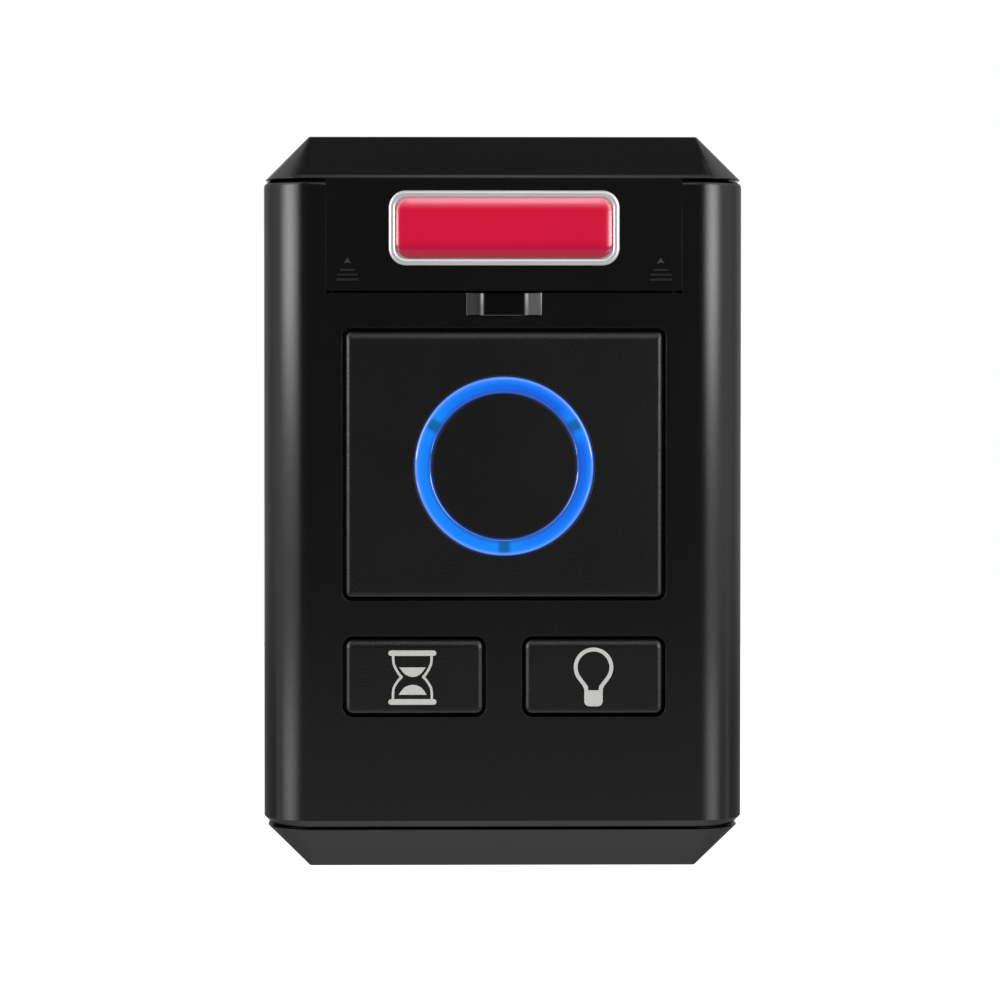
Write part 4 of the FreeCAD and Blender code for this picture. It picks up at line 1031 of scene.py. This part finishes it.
def makeCells():
    for name, node, side in (("batteryUpper", "battery_upper", -1), ("batteryLower", "battery_lower", 1)):
        y, z, radius = cellAxis(node)
        tail, nose = sorted((box.x for box in nodeBox(node)), reverse=side < 0)
        shoulder = nose - side * 1.0
        path = [(0.02, tail + side * 0.15), (3.3, tail + side * 0.15), (3.3, tail), (radius - 0.6, tail),
                (radius - 0.25, tail + side * 0.25), (radius, tail + side * 0.55),
                (radius, shoulder - side * 0.5), (radius - 0.35, shoulder - side * 0.12),
                (radius - 0.8, shoulder - side * 0.12), (radius - 1.0, shoulder - side * 0.45),
                (radius - 1.6, shoulder - side * 0.45), (2.3, shoulder), (1.9, shoulder + side * 0.15),
                (1.9, nose - side * 0.25), (1.65, nose), (0.02, nose)]
        settle(alongX(name, y, z, path, 72), "console", "cell_wrap", [node])
    print("cells made")


springLook = {"wire": 0.6, "turns": 3.0, "base": 3.6, "tip": 2.2}


def makeSprings():                              # cone-shaped springs swept along a spiral
    tree, given = newNodesTree("contactSpring", Turns="Float", Base_Radius="Float", Tip_Radius="Float",
                               Travel="Float", Wire="Float", Foot="Vector", Turned="Vector")
    spiral = addNode(tree, "GeometryNodeCurveSpiral", Resolution=32, Rotations=given["Turns"],
                     Start_Radius=given["Base Radius"], End_Radius=given["Tip Radius"],
                     Height=given["Travel"])
    section = addNode(tree, "GeometryNodeCurvePrimitiveCircle", Resolution=16,
                      Radius=calc(tree, "MULTIPLY", given["Wire"], 0.5))
    wire = addNode(tree, "GeometryNodeCurveToMesh", Curve=spiral.outputs[0],
                   Profile_Curve=section.outputs[0], Fill_Caps=True)
    placed = addNode(tree, "GeometryNodeTransform", Geometry=wire.outputs[0], Translation=given["Foot"],
                     Rotation=given["Turned"])
    endTree(tree, given, placed.outputs[0])
    look = springLook
    for name, node, side, cell in (("upperSpring", "upper_spring", 1, "battery_upper"),
                                   ("lowerSpring", "lower_spring", -1, "battery_lower")):
        lo, hi = nodeBox(node)
        y, z, radius = cellAxis(cell)
        foot = hi.x - look["wire"] / 2 if side > 0 else lo.x + look["wire"] / 2
        spring = growPiece(name, tree, {
            "Turns": look["turns"], "Base Radius": look["base"] * mm, "Tip Radius": look["tip"] * mm,
            "Travel": (hi.x - lo.x - look["wire"]) * mm, "Wire": look["wire"] * mm,
            "Foot": Vector((foot, y, z)) * mm, "Turned": (0.0, -side * math.pi / 2, 0.0)},
            "contact_nickel")
        settle(spring, "console", "contact_nickel", [node], 60)
    print("springs made")


recessLook = {"half": 0.38, "flare": 1.15, "tipReach": 0.4, "tipHalf": 0.5, "depth": 0.7, "pitch": 0.8}
screwLook = {"caseScrews": {"radius": 2.2, "height": 1.4, "shank": 1.1, "recess": 1.35,
                            "turned": (0.0, 0.35, 0.0)},
             "boardScrews": {"radius": 1.8, "height": 1.2, "shank": 0.9, "recess": 1.0,
                             "turned": (0.0, 0.9, math.pi)}}


def crossOutline(reach, half):
    outline = []
    for across, along in ((1, 0), (0, 1), (-1, 0), (0, -1)):
        for out, side in ((reach, -half), (reach, half), (half, half)):
            outline.append((out * across - side * along, out * along + side * across))
    return outline


def screwTemplate(look, length):                # head face at y 0, pointing along -Y
    radius, height, shank, recess = (look[key] for key in ("radius", "height", "shank", "recess"))
    path = [(0.02, 0), (radius * 0.72, 0), (radius * 0.93, -height * 0.22), (radius, -height * 0.5),
            (radius, -height), (shank, -height)]
    half, flare, pitch = recessLook["half"], recessLook["flare"], recessLook["pitch"]
    for k in range(int((length - height - 0.9) / pitch)):   # rolled thread as stacked ridges
        y = -height - 0.3 - pitch * k
        path += [(shank * 0.8, y), (shank, y - pitch / 2)]
    path += [(shank * 0.8, -length + 0.3), (0.02, -length)]
    screw = turned("screwTemplate", (0, 0), path, 28)
    levels = [(recess * flare, half * flare, 0.15), (recess, half, 0),
              (recess * recessLook["tipReach"], half * recessLook["tipHalf"], -height * recessLook["depth"])]
    rings = [[(x, y, z) for x, z in crossOutline(reach, arm)] for reach, arm, y in levels]
    combine(screw, [loftRings("recess", rings)], "DIFFERENCE")
    return screw


def makeScrews():
    tree, given = newNodesTree("screwSet", Screw="Object", Turned="Vector")
    info = addNode(tree, "GeometryNodeObjectInfo", Object=given["Screw"])
    turn = addNode(tree, "FunctionNodeEulerToRotation", Euler=given["Turned"])
    placed = addNode(tree, "GeometryNodeInstanceOnPoints", Points=given["Geometry"],
                     Instance=info.outputs["Geometry"], Rotation=turn.outputs[0])
    endTree(tree, given, placed.outputs[0])
    for name, node, points, end in (("caseScrews", "case_screws", casePoints(), 1),
                                    ("boardScrews", "board_screws", boardPoints(), 0)):
        box = nodeBox(node)
        template = screwTemplate(screwLook[name], box[1].y - box[0].y)
        screws = growPiece(name, tree, {"Screw": template, "Turned": screwLook[name]["turned"]},
                           "screw_steel", [(x, box[end].y, z) for x, z in points])
        settle(screws, "console", "screw_steel", [node])
        bpy.data.objects.remove(template)
    print("screws made")


def finishCadNodes():                           # inner pieces keep their own mesh
    for name, node in nodes.items():
        if not node.hide_render:
            node.data.materials.clear()
            node.data.materials.append(materials[slotOfNode[name]])


# Camera, floor and light

cameraLook = {"lens": 99.56, "place": (-13.3, -424.2, 15.5), "yaw": 0.58, "tilt": 0.90,
              "shift": (0.06, -0.06)}
floorLook = {"height": -140.0, "size": 2600.0, "shade": 0.27, "glow": 0.97, "mirrored": 0.15, "front": 60.0,
             "patch": 0.62, "lightPoolBack": (-130.0, -60.0), "lightPoolFront": (-30.0, 12.0)}
worldLook = {"top": 1.3, "above": 0.15, "aboveFrom": 56, "aboveTo": 72, "raised": 1.7,
             "raisedBand": (0.25, 0.7),
             "zones": ((0, 0.07), (24, 0.07), (32, 1.05), (72, 1.05), (94, 0.8), (110, 0.45), (135, 0.45),
                       (155, 0.25), (180, 0.12))}
lampLook = {        # angle, lift, foot and top, width, radiance, and how much is left above the foot
    "leftUpper": (-55, 0, (32, 290), 560, 9.8, 0.4),
    "rightUpper": (43.5, 0, (32, 290), 480, 10.3, 0.4),
    "leftLower": (-55, 0, (-137, -84), 560, 4.2, 1.0),
    "rightLower": (45, 0, (-137, -84), 480, 4.0, 1.0),
    "frontUpper": (4, 40, (-150, 150), 330, 1.7, 1.0)}
lampDistance = 520


def makeCamera():
    camera = placeObject("camera", bpy.data.cameras.new("camera"))
    camera.data.lens = cameraLook["lens"]
    camera.data.sensor_width = 36.0
    camera.data.shift_x, camera.data.shift_y = cameraLook["shift"]
    camera.data.clip_start, camera.data.clip_end = 0.01, 10.0
    camera.location = Vector(cameraLook["place"]) * mm
    camera.rotation_euler = (math.pi / 2 - math.radians(cameraLook["tilt"]), 0,
                             -math.radians(cameraLook["yaw"]))
    bpy.context.scene.camera = camera


def lightPath(tree):                            # the path's outputs, and 1 where the camera sees a surface
    path = tree.nodes.new("ShaderNodeLightPath").outputs
    return path, calc(tree, "MAXIMUM", path["Is Camera Ray"], path["Is Transmission Ray"])


def makeFloor():                                # light-toned, and white where the camera sees it unshaded; glossy rays also see a painted pool of light in front of and under the object
    look, half, z = floorLook, floorLook["size"] / 2, floorLook["height"]
    floor = newPiece("floor", [(-half, -half, z), (half, -half, z), (half, half, z), (-half, half, z)],
                     [(0, 1, 2, 3)], fixNormals=False)
    material = bpy.data.materials.new("floorWhite")
    material.use_nodes = True
    tree = material.node_tree
    tree.nodes.clear()
    path, seen = lightPath(tree)
    y = splitAxes(tree, tree.nodes.new("ShaderNodeTexCoord").outputs["Object"])["Y"]
    back, front = ([edge * mm for edge in look[key]] for key in ("lightPoolBack", "lightPoolFront"))
    # painted pool of light: glossy rays see the floor glow more in front of and under the object
    patch = calc(tree, "MULTIPLY", ramp(tree, y, *back), ramp(tree, y, *front, look["patch"], 0.0))
    ahead = ramp(tree, y, 0.0, look["front"] * mm, look["mirrored"], 0.0)
    mirrored = calc(tree, "MULTIPLY", path["Is Glossy Ray"], calc(tree, "ADD", patch, ahead))
    strength = calc(tree, "MULTIPLY_ADD", seen, look["glow"], mirrored)
    glow = addNode(tree, "ShaderNodeEmission", Strength=strength)
    diffuse = addNode(tree, "ShaderNodeBsdfDiffuse", Color=(look["shade"],) * 3 + (1,))
    both = tree.nodes.new("ShaderNodeAddShader")
    tree.links.new(diffuse.outputs[0], both.inputs[0])
    tree.links.new(glow.outputs[0], both.inputs[1])
    addNode(tree, "ShaderNodeOutputMaterial", Surface=both.outputs[0])
    floor.data.materials.append(material)


def makeWorld():                                # white to the camera; a dim front, bright sides, a dim back
    world = bpy.data.worlds.new("studio")
    bpy.context.scene.world = world
    world.use_nodes = True
    tree = world.node_tree
    axes = splitAxes(tree, tree.nodes.new("ShaderNodeTexCoord").outputs["Generated"])
    forward = calc(tree, "MULTIPLY", axes["Y"], -1.0)
    around = calc(tree, "ARCTAN2", calc(tree, "ABSOLUTE", axes["X"]), forward)
    zones = addNode(tree, "ShaderNodeValToRGB", Fac=calc(tree, "DIVIDE", around, math.pi))
    stops = zones.color_ramp.elements
    for k, (angle, level) in enumerate(worldLook["zones"]):
        stop = stops[k] if k < 1 else stops.new(angle / 180)
        stop.position = angle / 180
        stop.color = (level / worldLook["top"],) * 3 + (1,)
    stops.remove(stops[len(stops) - 1])
    level = calc(tree, "MULTIPLY", zones.outputs[0], worldLook["top"])
    raised = ramp(tree, axes["Z"], *worldLook["raisedBand"], 1.0, worldLook["raised"])
    low, high = (math.sin(math.radians(worldLook[key])) for key in ("aboveFrom", "aboveTo"))
    mixed = mixValue(tree, ramp(tree, axes["Z"], low, high), calc(tree, "MULTIPLY", level, raised),
                     worldLook["above"])
    fill(tree, tree.nodes["Background"], {"Strength": mixValue(tree, lightPath(tree)[1], mixed, 1.0),
                                          "Color": (1, 1, 1, 1)})


def shapeLamp(lamp, fade):                      # brightest along its middle and at its foot
    lamp.use_nodes = True
    tree = lamp.node_tree
    axes = splitAxes(tree, tree.nodes.new("ShaderNodeNewGeometry").outputs["Parametric"])
    aside = calc(tree, "ABSOLUTE", calc(tree, "MULTIPLY_ADD", axes["X"], 2.0, -1.0))
    across = ramp(tree, aside, 0.0, 1.0, 1.0, 0.0)
    upward = ramp(tree, axes["Y"], 0.12, 0.3, 1.0, fade)
    tree.links.new(calc(tree, "MULTIPLY", across, upward), tree.nodes["Emission"].inputs["Strength"])


def makeLights():
    near = nodeBox("front_shell")[0].y
    for name, (angle, lift, (foot, top), width, radiance, fade) in lampLook.items():
        angle, lift = math.radians(angle), math.radians(lift)
        lamp = bpy.data.lights.new(name, "AREA")
        lamp.shape = "RECTANGLE"
        lamp.size, lamp.size_y = width * mm, (top - foot) * mm
        lamp.energy = radiance * math.pi * lamp.size * lamp.size_y
        shapeLamp(lamp, fade)
        out, rise = lampDistance * math.cos(lift), lampDistance * math.sin(lift)
        place = Vector((out * math.sin(angle), near - out * math.cos(angle), rise + (foot + top) / 2))
        holder = placeObject(name, lamp)
        holder.location = place * mm
        holder.rotation_euler = Vector((-place.x, near - place.y, -rise)).to_track_quat("-Z", "Y").to_euler()


def makeStudio():
    makeCamera()
    makeFloor()
    makeWorld()
    makeLights()
    bpy.context.scene.view_settings.view_transform = "Standard"
    print("studio made")


makeStudio()
makeFinishes()
makeFrontShell()
makeCover()
makeGrips()
makeNameplate()
makeButtons()
makeLightRing()
makePictograms()
makeRearHousing()
makeCells()
makeSprings()
makeScrews()
finishCadNodes()
